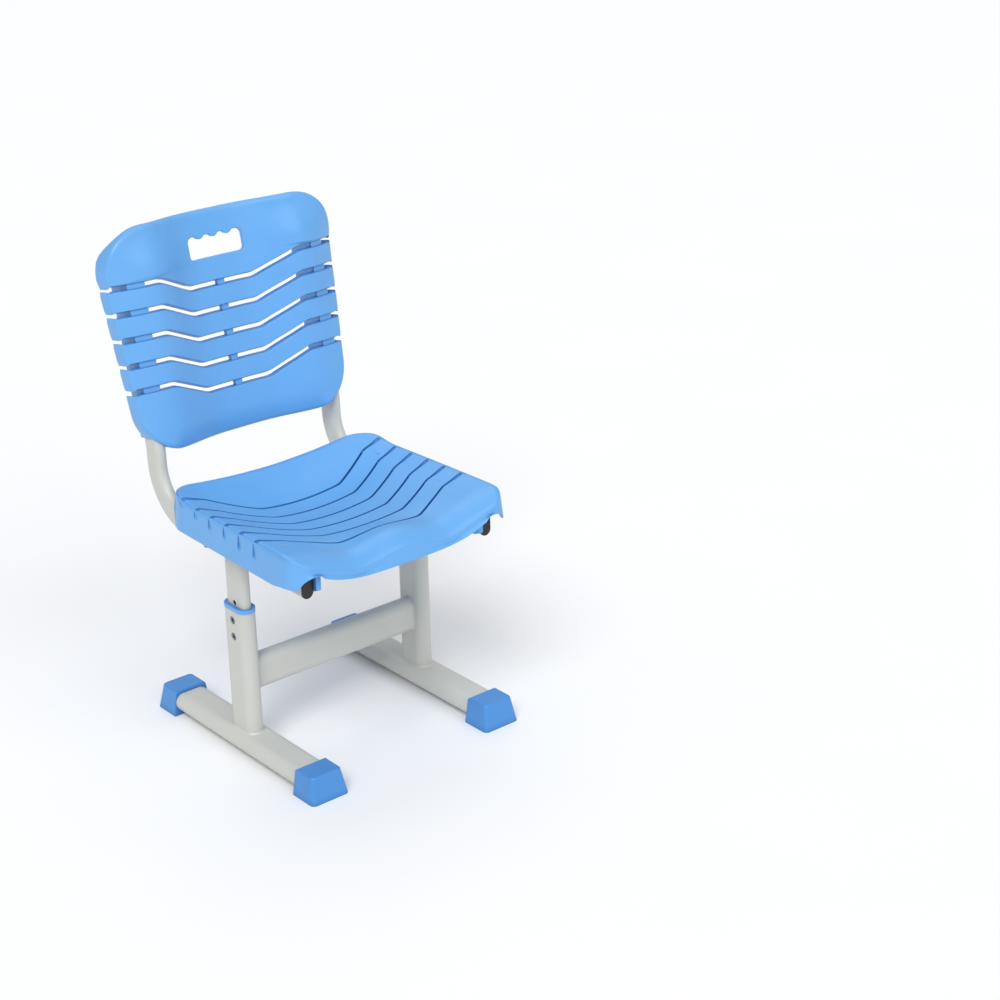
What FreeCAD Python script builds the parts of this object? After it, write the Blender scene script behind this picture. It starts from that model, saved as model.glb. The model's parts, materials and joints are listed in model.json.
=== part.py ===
import FreeCAD, Part
import math
import os
import Sketcher
from FreeCAD import Placement, Rotation, Vector

# Student desk chair: two floor rails with foot caps, telescoping flat-oval columns locked by set
# screws, two bent side tubes that carry a moulded seat pan and run up into a moulded backrest.
# Millimetres. X runs across the chair (the sitter's right is -X), the front faces -Y, Z is up.

doc = FreeCAD.newDocument("student_desk_chair")

# ---------------------------------------------------------------- driving dimensions
DIMENSIONS = [
    ("track_width", 340, "between the two column axes"),
    ("foot_span", 440, "front foot to rear foot, at the floor"),
    ("rail_wide", 60, "floor rail section, across"),
    ("rail_thin", 30, "floor rail section, height"),
    ("rail_lift", 7, "underside of the rail above the floor"),
    ("tube_wall", 1.5, "wall of every steel tube"),
    ("foot_base_width", 69, "foot cap at the floor, across"),
    ("foot_base_length", 53, "foot cap at the floor, along the rail"),
    ("foot_top_width", 56, "foot cap at its top, across"),
    ("foot_top_length", 43, "foot cap at its top, along the rail"),
    ("foot_height", 43, "foot cap"),
    ("foot_wall", 12, "foot cap, from its outer end to the rail's end"),
    ("column_wide", 60, "outer column section, front to back"),
    ("column_thin", 30, "outer column section, across"),
    ("column_top", 246, "top edge of the outer column above the floor"),
    ("inner_wide", 50, "inner column section, front to back"),
    ("inner_thin", 18, "inner column section, across"),
    ("inner_length", 250, "inner column, below the side tube"),
    ("slide_gap", 0.3, "gap between the inner column and what guides it"),
    ("collar_lip", 6.5, "collar above the column"),
    ("collar_overhang", 0.8, "collar outside the column"),
    ("collar_sleeve", 8, "collar inside the column"),
    ("glide_height", 18, "glide shoe at the foot of the inner column"),
    ("hole_pitch", 28, "height steps"),
    ("hole_top", 257, "highest hole of the inner column, above the floor"),
    ("hole_count", 6, "holes in the inner column"),
    ("hole_diameter", 9, "holes in the inner column"),
    ("lock_hole", 13, "holes in the outer column for the lock screws"),
    ("lock_drop", 28, "upper lock screw below the inner column's highest hole"),
    ("bush_diameter", 18, "threaded bush inside the outer column"),
    ("bush_thick", 3.8, "threaded bush, along its bore"),
    ("lock_thread", 10, "lock screw"),
    ("lock_dog", 7, "dog point of the lock screw"),
    ("lock_dog_length", 2, "dog point of the lock screw"),
    ("lock_body_length", 3.1, "threaded length of the lock screw"),
    ("lock_socket", 5, "hexagon socket across the flats"),
    ("lock_tip_gap", 0.4, "backed-off dog point to the inner column"),
    ("thread_gap", 0.05, "radial clearance of the lock screw in its bush"),
    ("beam_tall", 60, "crossbeam section, height"),
    ("beam_thin", 30, "crossbeam section, front to back"),
    ("beam_centre", 130, "crossbeam axis above the floor"),
    ("side_tall", 40, "side tube section, in its bending plane"),
    ("side_thin", 20, "side tube section, across"),
    ("side_axis", 347, "side tube under the seat, above the floor"),
    ("side_front", 187, "front end of the side tube, ahead of the columns"),
    ("side_bend", 80, "side tube's large bend, at its axis"),
    ("side_rise", 212, "side tube's upright, behind the columns"),
    ("recline_bend", 120, "side tube's small bend, at its axis"),
    ("brace_diameter", 19, "braces between the side tubes"),
    ("brace_front", 110, "front brace ahead of the columns"),
    ("brace_rear", 118, "rear brace behind the columns"),
    ("plug_lip", 3, "tube plug outside the tube"),
    ("plug_depth", 15, "tube plug inside the tube"),
    ("seat_wall", 3.6, "seat pan wall"),
    ("seat_front", 213, "seat edge ahead of the columns"),
    ("seat_rear", 159, "seat edge behind the columns"),
    ("seat_front_width", 416, "seat pan at its front corners"),
    ("seat_rear_width", 398, "seat pan at its rear corners"),
    ("seat_low", 356, "lowest point of the seat's dish"),
    ("seat_side", 401, "crest of the seat's sides"),
    ("seat_rear_lift", 42, "seat's rear edge above the dish"),
    ("seat_front_lift", 21, "seat's front roll above the dish"),
    ("seat_rim", 348, "lower edge of the side skirts"),
    ("seat_apron", 342, "lower edge of the front apron at its middle"),
    ("apron_end", 361, "lower edge of the front apron beside the arches"),
    ("seat_edge_round", 11, "round between the seat's face and its skirts"),
    ("groove_pitch", 41.5, "grooves in the seat's face"),
    ("groove_width", 3, "grooves in the seat's face"),
    ("groove_depth", 1.8, "grooves in the seat's face"),
    ("arch_inner", 19, "arch over the tube's end, from the tube's axis towards the middle"),
    ("arch_outer", 15, "arch over the tube's end, from the tube's axis outwards"),
    ("tube_notch", 2.5, "gap between the side tube and the rear skirt's notch"),
    ("arch_top", 370, "arch over the tube's end, above the floor"),
    ("boss_diameter", 15, "screw bosses under the seat"),
    ("seat_screw_front", 85, "front seat screws ahead of the columns"),
    ("seat_screw_rear", 80, "rear seat screws behind the columns"),
    ("seat_screw_diameter", 6, "seat screws"),
    ("seat_screw_length", 49, "seat screws, under the head"),
    ("screw_hole_gap", 0.3, "radial clearance round a screw"),
    ("back_wall", 3.6, "backrest wall"),
    ("back_bottom", 441, "backrest's lower edge above the floor"),
    ("back_setback", 205, "backrest's lower edge behind the columns"),
    ("back_height", 361, "backrest, along its face"),
    ("back_top_width", 437, "backrest at its top corners, before rounding"),
    ("back_bottom_width", 386, "backrest at its lower corners, before rounding"),
    ("back_recline", 11.25, "backrest from the vertical, in degrees"),
    ("back_rim", 14, "backrest's rim behind its centre face"),
    ("back_wrap", 42, "sides of the backrest ahead of its centre"),
    ("back_edge_round", 7, "round between the backrest's face and its rim"),
    ("slot_width", 9, "slots between the slats"),
    ("slot_pitch", 41.2, "slots between the slats"),
    ("slot_first", 107, "lowest slot's ends above the backrest's lower edge"),
    ("slot_drop", 29, "middle of a slot below its ends"),
    ("grip_width", 101, "hand grip opening"),
    ("grip_height", 36, "hand grip opening"),
    ("grip_bottom", 285, "hand grip opening above the backrest's lower edge"),
    ("sleeve_wall", 3.2, "sleeves round the side tubes"),
    ("sleeve_foot", 24, "sleeves' lower end above the backrest's lower edge"),
    ("sleeve_top", 332, "sleeves' upper end above the backrest's lower edge"),
    ("tube_setback", 5, "side tube's axis behind the backrest's centre face"),
    ("tube_end", 322, "side tube's upper end above the backrest's lower edge"),
    ("sleeve_gap", 0.2, "gap round the tube in its sleeve"),
    ("rib_width", 13, "rib behind the slats"),
    ("rib_depth", 9, "rib behind the slats"),
    ("back_screw_low", 80, "lower backrest screws above the backrest's lower edge"),
    ("back_screw_high", 250, "upper backrest screws above the backrest's lower edge"),
    ("back_screw_diameter", 5, "backrest screws"),
    ("back_screw_length", 30, "backrest screws, under the head"),
]

sheet = doc.addObject("Spreadsheet::Sheet", "Sizes")
for row, (alias, value, note) in enumerate(DIMENSIONS, 1):
    sheet.set(f"A{row}", note)
    sheet.set(f"B{row}", str(value))
    sheet.setAlias(f"B{row}", alias)
doc.recompute()


def size(alias):
    return float(sheet.get(alias))


RECLINE = math.radians(size("back_recline"))
SIDES = {"right": -1, "left": 1}
SLATS = 5
GROOVES = 6
SLEEVE_BACK = size("side_tall") / 2 + size("sleeve_wall") + size("tube_setback")

# The origin is on the floor at the middle of the whole chair, front to back: the foot caps reach
# furthest forward, and the upper ends of the backrest's sleeves furthest back.
REAR_REACH = (size("back_setback") + size("sleeve_top") * math.sin(RECLINE)
              + SLEEVE_BACK * math.cos(RECLINE))
COLUMN_Y = (size("foot_span") / 2 - REAR_REACH) / 2


# ---------------------------------------------------------------- helpers
def place(piece, x=0.0, y=0.0, z=0.0, turn=None):
    """Stand a piece at x, y (from the column axes) and z, turned by a Rotation."""
    piece.Placement = Placement(Vector(x, y + COLUMN_Y, z), turn or Rotation())
    return piece


def half_turn(side):
    """The left-hand copy of a piece is the right-hand one turned round Z."""
    return Rotation(Vector(0, 0, 1), 0 if side < 0 else 180)


def new_body(label):
    body = doc.addObject("PartDesign::Body", label)
    body.Label = label
    return body


def origin_plane(body, role):
    return next(f for f in body.Origin.OriginFeatures if f.Role == role)


def sketch_on(body, name, role, offset=0.0, tilt=0.0):
    """A sketch on one of the body's own origin planes, moved off it and tilted about its X."""
    sketch = body.newObject("Sketcher::SketchObject", name)
    sketch.AttachmentSupport = (origin_plane(body, role), [""])
    sketch.MapMode = "FlatFace"
    sketch.AttachmentOffset = Placement(Vector(0, 0, offset), Rotation(Vector(1, 0, 0), tilt))
    return sketch


def bind(sketch, constraint, name, expression):
    """Add a named dimension to a sketch and tie it to the sheet."""
    index = sketch.addConstraint(constraint)
    sketch.renameConstraint(index, name)
    sketch.setExpression("Constraints." + name, expression)


def value_of(expression):
    """The number that an expression over the sheet stands for now."""
    return float(sheet.evalExpression(expression))


def flat_oval(sketch, name, wide, thin, upright=False):
    """Two straight sides and two round ends about the sketch's origin."""
    radius = value_of(thin) / 2
    reach = value_of(wide) / 2 - radius
    along, across = (Vector(0, 1, 0), Vector(-1, 0, 0)) if upright else (Vector(1, 0, 0), Vector(0, 1, 0))
    start = math.pi / 2 if upright else 0.0
    arcs = []
    for sign, first in ((1, start - math.pi / 2), (-1, start + math.pi / 2)):
        circle = Part.Circle(along * (sign * reach), Vector(0, 0, 1), radius)
        arcs.append(sketch.addGeometry(Part.ArcOfCircle(circle, first, first + math.pi)))
    lines = []
    for sign in (1, -1):
        ends = [along * (sign * reach) + across * (sign * radius), along * (-sign * reach) + across * (sign * radius)]
        lines.append(sketch.addGeometry(Part.LineSegment(*ends)))
    for arc, line in ((0, 0), (1, 1)):
        sketch.addConstraint(Sketcher.Constraint("Tangent", arcs[arc], 2, lines[line], 1))
        sketch.addConstraint(Sketcher.Constraint("Tangent", lines[line], 2, arcs[1 - arc], 1))
    sketch.addConstraint(Sketcher.Constraint("Equal", arcs[0], arcs[1]))
    sketch.addConstraint(Sketcher.Constraint("Vertical" if upright else "Horizontal", lines[0]))
    sketch.addConstraint(Sketcher.Constraint("Symmetric", arcs[0], 3, arcs[1], 3, -1, 1))
    bind(sketch, Sketcher.Constraint("Radius", arcs[0], radius), name + "_radius", f"({thin}) / 2")
    kind = "DistanceY" if upright else "DistanceX"
    bind(sketch, Sketcher.Constraint(kind, arcs[1], 3, arcs[0], 3, 2 * reach), name + "_reach",
         f"({wide}) - ({thin})")


def circle(sketch, name, diameter, across="0", up="0"):
    """A circle of a given diameter, its centre at across, up in the sketch."""
    centre = Vector(value_of(across), value_of(up), 0)
    index = sketch.addGeometry(Part.Circle(centre, Vector(0, 0, 1), value_of(diameter) / 2))
    bind(sketch, Sketcher.Constraint("Diameter", index, value_of(diameter)), name + "_diameter", diameter)
    for kind, axis_point, expression in (("DistanceX", "across", across), ("DistanceY", "up", up)):
        amount = value_of(expression)
        if expression == "0":
            axis = -2 if kind == "DistanceX" else -1
            sketch.addConstraint(Sketcher.Constraint("PointOnObject", index, 3, axis))
        else:
            bind(sketch, Sketcher.Constraint(kind, -1, 1, index, 3, amount), f"{name}_{axis_point}", expression)


def rectangle(sketch, name, left, right, low, high):
    """A rectangle between four bound distances from the sketch's origin."""
    x0, x1, y0, y1 = (value_of(e) for e in (left, right, low, high))
    corners = [Vector(x0, y0, 0), Vector(x1, y0, 0), Vector(x1, y1, 0), Vector(x0, y1, 0)]
    first = sketch.GeometryCount
    for k in range(4):
        sketch.addGeometry(Part.LineSegment(corners[k], corners[(k + 1) % 4]))
    for k in range(4):
        sketch.addConstraint(Sketcher.Constraint("Coincident", first + k, 2, first + (k + 1) % 4, 1))
        sketch.addConstraint(Sketcher.Constraint("Vertical" if k % 2 else "Horizontal", first + k))
    for key, kind, corner, expression in (("left", "DistanceX", 0, left), ("right", "DistanceX", 1, right),
                                          ("low", "DistanceY", 0, low), ("high", "DistanceY", 2, high)):
        amount = value_of(expression)
        bind(sketch, Sketcher.Constraint(kind, -1, 1, first + corner, 1, amount), f"{name}_{key}", expression)


def pad(body, sketch, length, name="Pad", symmetric=False, back=False):
    feature = body.newObject("PartDesign::Pad", name)
    feature.Profile = sketch
    feature.Midplane = symmetric
    feature.Reversed = back
    feature.setExpression("Length", length)
    return feature


def pocket(body, sketch, length, name="Pocket", symmetric=False, back=False):
    """Cut a pocket, and check that it removed something."""
    doc.recompute()
    before = body.Shape.Volume
    feature = body.newObject("PartDesign::Pocket", name)
    feature.Profile = sketch
    feature.Midplane = symmetric
    feature.Reversed = back
    feature.setExpression("Length", length)
    doc.recompute()
    if not body.Shape.Volume < before - 0.01:
        raise RuntimeError(f"{body.Label}: {name} cuts nothing")
    return feature


PIECES = []


def keep(piece):
    """A finished piece of the chair, to be checked and written."""
    PIECES.append(piece)
    return piece


# ---------------------------------------------------------------- base: rails, feet, columns
S = "Sizes."
RAIL_END = "(Sizes.foot_span / 2 - Sizes.foot_wall)"


def floor_rail(name, side):
    """Flat-oval tube lying on its wide side, front to back."""
    body = new_body(f"floor_rail_{name}")
    section = sketch_on(body, "RailSection", "XZ_Plane")
    flat_oval(section, "outer", S + "rail_wide", S + "rail_thin")
    flat_oval(section, "inner", "Sizes.rail_wide - 2 * Sizes.tube_wall", "Sizes.rail_thin - 2 * Sizes.tube_wall")
    pad(body, section, f"2 * {RAIL_END}", symmetric=True)
    keep(place(body, side * size("track_width") / 2, 0, size("rail_lift") + size("rail_thin") / 2))


def foot_cap(name, side, end):
    """Tapered plastic foot, pushed over a rail's end and open under the rail at its mouth."""
    body = new_body(f"foot_cap_{'front' if end < 0 else 'rear'}_{name}")
    taper = body.newObject("PartDesign::AdditiveWedge", "Taper")
    taper.AttachmentSupport = (origin_plane(body, "XZ_Plane"), [""])
    taper.MapMode = "FlatFace"
    for key, expression in (("Xmin", "-Sizes.foot_base_width / 2"), ("Xmax", "Sizes.foot_base_width / 2"),
                            ("Ymin", "0"), ("Ymax", "Sizes.foot_height"),
                            ("Zmin", "0"), ("Zmax", "Sizes.foot_base_length"),
                            ("X2min", "-Sizes.foot_top_width / 2"), ("X2max", "Sizes.foot_top_width / 2"),
                            ("Z2min", "1"), ("Z2max", "1 + Sizes.foot_top_length")):
        taper.setExpression(key, expression)
    doc.recompute()
    corners = [f"Edge{k + 1}" for k, edge in enumerate(taper.Shape.Edges)
               if edge.BoundBox.ZLength > size("foot_height") - 1 and edge.BoundBox.YMax < -10]
    rounded = body.newObject("PartDesign::Fillet", "CornerRounds")
    rounded.Base = (taper, corners)
    rounded.Radius = 8
    doc.recompute()
    rims = [f"Edge{k + 1}" for k, edge in enumerate(rounded.Shape.Edges)
            if edge.BoundBox.ZMin > size("foot_height") - 0.1]
    softened = body.newObject("PartDesign::Fillet", "TopRound")
    softened.Base = (rounded, rims)
    softened.Radius = 4
    socket = sketch_on(body, "Socket", "XZ_Plane")
    socket.setExpression("AttachmentOffset.Base.y", "Sizes.rail_lift + Sizes.rail_thin / 2")
    flat_oval(socket, "socket", S + "rail_wide", S + "rail_thin")
    pocket(body, socket, "Sizes.foot_base_length - Sizes.foot_wall", "RailSocket", back=True)
    mouth = sketch_on(body, "Mouth", "XZ_Plane")
    rectangle(mouth, "mouth", "-Sizes.rail_wide / 2 + Sizes.rail_thin / 2",
              "Sizes.rail_wide / 2 - Sizes.rail_thin / 2", "-1", "Sizes.rail_lift + Sizes.rail_thin / 2")
    pocket(body, mouth, "Sizes.foot_base_length / 2", "OpenMouth", back=True)
    reach = size("foot_span") / 2 - size("foot_base_length")
    keep(place(body, side * size("track_width") / 2, end * reach, 0, Rotation(Vector(0, 0, 1), 90 * (end + 1))))


def outer_column(name, side):
    """Upright flat-oval tube with two lock screw holes in its outer face."""
    body = new_body(f"outer_column_{name}")
    section = sketch_on(body, "Section", "XY_Plane")
    flat_oval(section, "outer", S + "column_wide", S + "column_thin", upright=True)
    flat_oval(section, "inner", "Sizes.column_wide - 2 * Sizes.tube_wall",
              "Sizes.column_thin - 2 * Sizes.tube_wall", upright=True)
    foot = "(Sizes.rail_lift + Sizes.rail_thin)"
    pad(body, section, f"Sizes.column_top - {foot}")
    for k in range(2):
        hole = sketch_on(body, f"LockHole{k}", "YZ_Plane")
        circle(hole, "hole", S + "lock_hole", up=f"Sizes.hole_top - Sizes.lock_drop - {k} * Sizes.hole_pitch - {foot}")
        pocket(body, hole, S + "column_thin", f"LockBore{k}", back=False)
    keep(place(body, side * size("track_width") / 2, 0, value_of(foot), half_turn(side)))


def column_collar(name, side):
    """Plastic collar in the mouth of the outer column, which guides the inner one."""
    body = new_body(f"column_collar_{name}")
    guide = ("Sizes.inner_wide + 2 * Sizes.slide_gap", "Sizes.inner_thin + 2 * Sizes.slide_gap")
    lip = sketch_on(body, "Lip", "XY_Plane")
    flat_oval(lip, "outer", "Sizes.column_wide + 2 * Sizes.collar_overhang",
              "Sizes.column_thin + 2 * Sizes.collar_overhang", upright=True)
    flat_oval(lip, "guide", *guide, upright=True)
    lip_pad = pad(body, lip, S + "collar_lip", "LipPad")
    sleeve = sketch_on(body, "Sleeve", "XY_Plane")
    flat_oval(sleeve, "outer", "Sizes.column_wide - 2 * Sizes.tube_wall",
              "Sizes.column_thin - 2 * Sizes.tube_wall", upright=True)
    flat_oval(sleeve, "guide", *guide, upright=True)
    pad(body, sleeve, S + "collar_sleeve", "SleevePad", back=True)
    doc.recompute()
    keep(place(body, side * size("track_width") / 2, 0, size("column_top")))
    return lip_pad


def crossbeam():
    """Flat-oval tube between the two columns, wide side upright."""
    body = new_body("crossbeam")
    section = sketch_on(body, "Section", "YZ_Plane")
    flat_oval(section, "outer", S + "beam_tall", S + "beam_thin", upright=True)
    flat_oval(section, "inner", "Sizes.beam_tall - 2 * Sizes.tube_wall",
              "Sizes.beam_thin - 2 * Sizes.tube_wall", upright=True)
    pad(body, section, "Sizes.track_width - Sizes.column_thin", symmetric=True)
    keep(place(body, 0, 0, size("beam_centre")))


# ---------------------------------------------------------------- lock screws and their bushes
LOCK_HEIGHTS = [size("hole_top") - size("lock_drop") - k * size("hole_pitch") for k in range(2)]
BUSH_FACE = size("column_thin") / 2 - size("tube_wall")
LOCK_TIP = size("inner_thin") / 2 + size("lock_tip_gap")


def solid_cylinder(name, diameter, length):
    """Part::Cylinder along X, from x = 0 towards -X once turned."""
    piece = doc.addObject("Part::Cylinder", name)
    piece.setExpression("Radius", f"({diameter}) / 2")
    piece.setExpression("Height", length)
    return piece


def lock_bushes(name, side):
    """Two threaded bushes on the inside of a column's outer wall."""
    rings = []
    outwards = Rotation(Vector(0, 1, 0), -90)
    for k, height in enumerate(LOCK_HEIGHTS):
        ring = solid_cylinder(f"bush_ring_{name}_{k}", S + "bush_diameter", S + "bush_thick")
        bore = solid_cylinder(f"bush_bore_{name}_{k}", "Sizes.lock_thread + 2 * Sizes.thread_gap",
                              S + "bush_thick")
        bush = doc.addObject("Part::Cut", f"bush_{name}_{k}")
        bush.Base = ring
        bush.Tool = bore
        bush.Placement = Placement(Vector(size("bush_thick") - BUSH_FACE, 0, height), outwards)
        rings.append(bush)
    group = doc.addObject("Part::Compound", f"screw_bushes_{name}")
    group.Links = rings
    keep(place(group, side * size("track_width") / 2, 0, 0, half_turn(side)))


def lock_screw(name, side, k, height):
    """Short set screw with a dog point and a hexagon socket, axis along X, point inwards."""
    body = new_body(f"lock_screw_{('upper', 'lower')[k]}_{name}")
    shank = sketch_on(body, "Shank", "YZ_Plane")
    circle(shank, "shank", S + "lock_thread")
    pad(body, shank, S + "lock_body_length", "ShankPad", back=True)
    dog = sketch_on(body, "Dog", "YZ_Plane")
    circle(dog, "dog", S + "lock_dog")
    pad(body, dog, S + "lock_dog_length", "DogPad")
    doc.recompute()
    socket = sketch_on(body, "Socket", "YZ_Plane")
    socket.setExpression("AttachmentOffset.Base.z", "-Sizes.lock_body_length")
    radius = size("lock_socket") / math.sqrt(3)
    corners = [Vector(radius * math.cos(math.radians(60 * j)), radius * math.sin(math.radians(60 * j)), 0)
               for j in range(7)]
    sides = [socket.addGeometry(Part.LineSegment(a, b)) for a, b in zip(corners, corners[1:])]
    ring = socket.addGeometry(Part.Circle(Vector(0, 0, 0), Vector(0, 0, 1), radius), True)
    for j, edge in enumerate(sides):
        socket.addConstraint(Sketcher.Constraint("Coincident", edge, 2, sides[(j + 1) % 6], 1))
        socket.addConstraint(Sketcher.Constraint("PointOnObject", edge, 1, ring))
    for edge in sides[1:]:
        socket.addConstraint(Sketcher.Constraint("Equal", sides[0], edge))
    socket.addConstraint(Sketcher.Constraint("Coincident", ring, 3, -1, 1))
    socket.addConstraint(Sketcher.Constraint("PointOnObject", sides[0], 1, -1))
    bind(socket, Sketcher.Constraint("Radius", ring, radius), "socket_radius", "Sizes.lock_socket / sqrt(3)")
    pocket(body, socket, "Sizes.lock_body_length * 0.7", "HexSocket", back=True)
    start = size("track_width") / 2 + LOCK_TIP + size("lock_dog_length")
    keep(place(body, side * start, 0, height, half_turn(side)))


# ---------------------------------------------------------------- sliding carrier: columns and tubes
SADDLE = size("side_axis") - size("side_tall") / 2 + size("side_thin") / 2
INNER_FOOT = size("side_axis") - size("side_tall") / 2 - size("inner_length")


def inner_column(name, side):
    """Flat-oval tube with the row of height holes, coped to fit under the side tube."""
    body = new_body(f"inner_column_{name}")
    section = sketch_on(body, "Section", "XY_Plane")
    flat_oval(section, "outer", S + "inner_wide", S + "inner_thin", upright=True)
    flat_oval(section, "inner", "Sizes.inner_wide - 2 * Sizes.tube_wall",
              "Sizes.inner_thin - 2 * Sizes.tube_wall", upright=True)
    pad(body, section, "Sizes.inner_length + Sizes.side_thin / 2")
    cope = sketch_on(body, "Cope", "XZ_Plane")
    circle(cope, "cope", S + "side_thin", up="Sizes.inner_length + Sizes.side_thin / 2")
    pocket(body, cope, "2 * Sizes.inner_wide", "TubeSaddle", symmetric=True)
    foot = "(Sizes.side_axis - Sizes.side_tall / 2 - Sizes.inner_length)"
    for k in range(int(size("hole_count"))):
        hole = sketch_on(body, f"HeightHole{k}", "YZ_Plane")
        circle(hole, "hole", S + "hole_diameter", up=f"Sizes.hole_top - {k} * Sizes.hole_pitch - {foot}")
        pocket(body, hole, "2 * Sizes.inner_thin", f"HeightBore{k}", symmetric=True)
    keep(place(body, side * size("track_width") / 2, 0, INNER_FOOT, half_turn(side)))


def glide_shoe(name, side):
    """Plastic shoe on the inner column's lower end, which centres it in the outer column."""
    body = new_body(f"glide_shoe_{name}")
    sole = sketch_on(body, "Sole", "XY_Plane")
    flat_oval(sole, "sole", "Sizes.column_wide - 2 * Sizes.tube_wall - 2 * Sizes.slide_gap",
              "Sizes.column_thin - 2 * Sizes.tube_wall - 2 * Sizes.slide_gap", upright=True)
    pad(body, sole, "Sizes.glide_height / 3", "SolePad", back=True)
    plug = sketch_on(body, "Plug", "XY_Plane")
    flat_oval(plug, "plug", "Sizes.inner_wide - 2 * Sizes.tube_wall",
              "Sizes.inner_thin - 2 * Sizes.tube_wall", upright=True)
    pad(body, plug, "Sizes.glide_height * 2 / 3", "PlugPad")
    keep(place(body, side * size("track_width") / 2, 0, INNER_FOOT))


def side_tube_path():
    """Corner and tangent points of the tube's axis in the Y, Z plane, from front to top."""
    low = size("side_axis")
    bend = size("side_bend")
    rise = size("side_rise")
    small = size("recline_bend")
    run_along = Vector(0, math.sin(RECLINE), math.cos(RECLINE))
    back_origin = Vector(0, size("back_setback"), size("back_bottom"))
    normal = Vector(0, math.cos(RECLINE), -math.sin(RECLINE))
    axis_point = back_origin + normal * size("tube_setback")
    knee_z = axis_point.z + (rise - axis_point.y) / run_along.y * run_along.z
    knee = Vector(0, rise, knee_z)
    tangent = small * math.tan(RECLINE / 2)
    top = axis_point + run_along * size("tube_end")
    return {
        "front": Vector(0, -size("side_front"), low),
        "bend_start": Vector(0, rise - bend, low),
        "bend_centre": Vector(0, rise - bend, low + bend),
        "bend_end": Vector(0, rise, low + bend),
        "knee_start": knee - Vector(0, 0, tangent),
        "knee_end": knee + run_along * tangent,
        "knee_centre": knee - Vector(0, 0, tangent) + Vector(0, small, 0),
        "top": top,
        "run_along": run_along,
        "normal": normal,
    }


PATH = side_tube_path()


def side_tube(name, side):
    """Flat-oval tube: under the seat, up behind it and reclined with the backrest."""
    body = new_body(f"side_tube_{name}")
    route = sketch_on(body, "Route", "YZ_Plane")
    flat = {key: Vector(p.y, p.z, 0) for key, p in PATH.items()}
    run = route.addGeometry(Part.LineSegment(flat["front"], flat["bend_start"]))
    bend = route.addGeometry(Part.ArcOfCircle(
        Part.Circle(flat["bend_centre"], Vector(0, 0, 1), size("side_bend")), -math.pi / 2, 0))
    rise = route.addGeometry(Part.LineSegment(flat["bend_end"], flat["knee_start"]))
    knee = route.addGeometry(Part.ArcOfCircle(
        Part.Circle(flat["knee_centre"], Vector(0, 0, 1), size("recline_bend")), math.pi - RECLINE, math.pi))
    upper = route.addGeometry(Part.LineSegment(flat["knee_end"], flat["top"]))
    for first, end, second, start in ((run, 2, bend, 1), (bend, 2, rise, 1), (rise, 2, knee, 2), (knee, 1, upper, 1)):
        route.addConstraint(Sketcher.Constraint("Tangent", first, end, second, start))
    route.addConstraint(Sketcher.Constraint("Horizontal", run))
    route.addConstraint(Sketcher.Constraint("Vertical", rise))
    bind(route, Sketcher.Constraint("Radius", bend, size("side_bend")), "side_bend", S + "side_bend")
    bind(route, Sketcher.Constraint("Radius", knee, size("recline_bend")), "recline_bend", S + "recline_bend")
    bind(route, Sketcher.Constraint("DistanceX", run, 1, -1, 1, size("side_front")), "front", S + "side_front")
    bind(route, Sketcher.Constraint("DistanceY", -1, 1, run, 1, size("side_axis")), "axis", S + "side_axis")
    bind(route, Sketcher.Constraint("DistanceX", -1, 1, rise, 1, size("side_rise")), "rise", S + "side_rise")
    route.addConstraint(Sketcher.Constraint("DistanceX", -1, 1, upper, 2, flat["top"].x))
    route.addConstraint(Sketcher.Constraint("DistanceY", -1, 1, upper, 2, flat["top"].y))
    section = sketch_on(body, "Section", "XZ_Plane", offset=size("side_front"))
    section.setExpression("AttachmentOffset.Base.z", S + "side_front")
    section.setExpression("AttachmentOffset.Base.y", S + "side_axis")
    flat_oval(section, "outer", S + "side_tall", S + "side_thin", upright=True)
    flat_oval(section, "inner", "Sizes.side_tall - 2 * Sizes.tube_wall",
              "Sizes.side_thin - 2 * Sizes.tube_wall", upright=True)
    pipe = body.newObject("PartDesign::AdditivePipe", "BentTube")
    pipe.Profile = section
    pipe.Spine = (route, [f"Edge{k + 1}" for k in range(5)])
    for key, forwards in (("front", S + "seat_screw_front"), ("rear", "-Sizes.seat_screw_rear")):
        hole = sketch_on(body, f"SeatScrew_{key}", "XY_Plane")
        circle(hole, "hole", "Sizes.seat_screw_diameter + 2 * Sizes.screw_hole_gap", up=f"-({forwards})")
        pocket(body, hole, "4 * Sizes.side_axis", f"SeatScrewBore_{key}", symmetric=True)
    for key in ("low", "high"):
        hole = back_screw_sketch(body, key)
        circle(hole, "hole", "Sizes.back_screw_diameter + 2 * Sizes.screw_hole_gap")
        pocket(body, hole, "2 * Sizes.side_tall", f"BackScrewBore_{key}", symmetric=True)
    keep(place(body, side * size("track_width") / 2))


def back_screw_sketch(body, key):
    """A sketch square to the backrest, at the height of a pair of backrest screws."""
    hole = sketch_on(body, f"BackScrew_{key}", "XZ_Plane")
    centre = (Vector(0, size("back_setback"), size("back_bottom"))
              + PATH["run_along"] * size(f"back_screw_{key}") + PATH["normal"] * size("tube_setback"))
    hole.AttachmentOffset = Placement(Vector(0, centre.z, -centre.y),
                                      Rotation(Vector(1, 0, 0), -size("back_recline")))
    return hole


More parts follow.
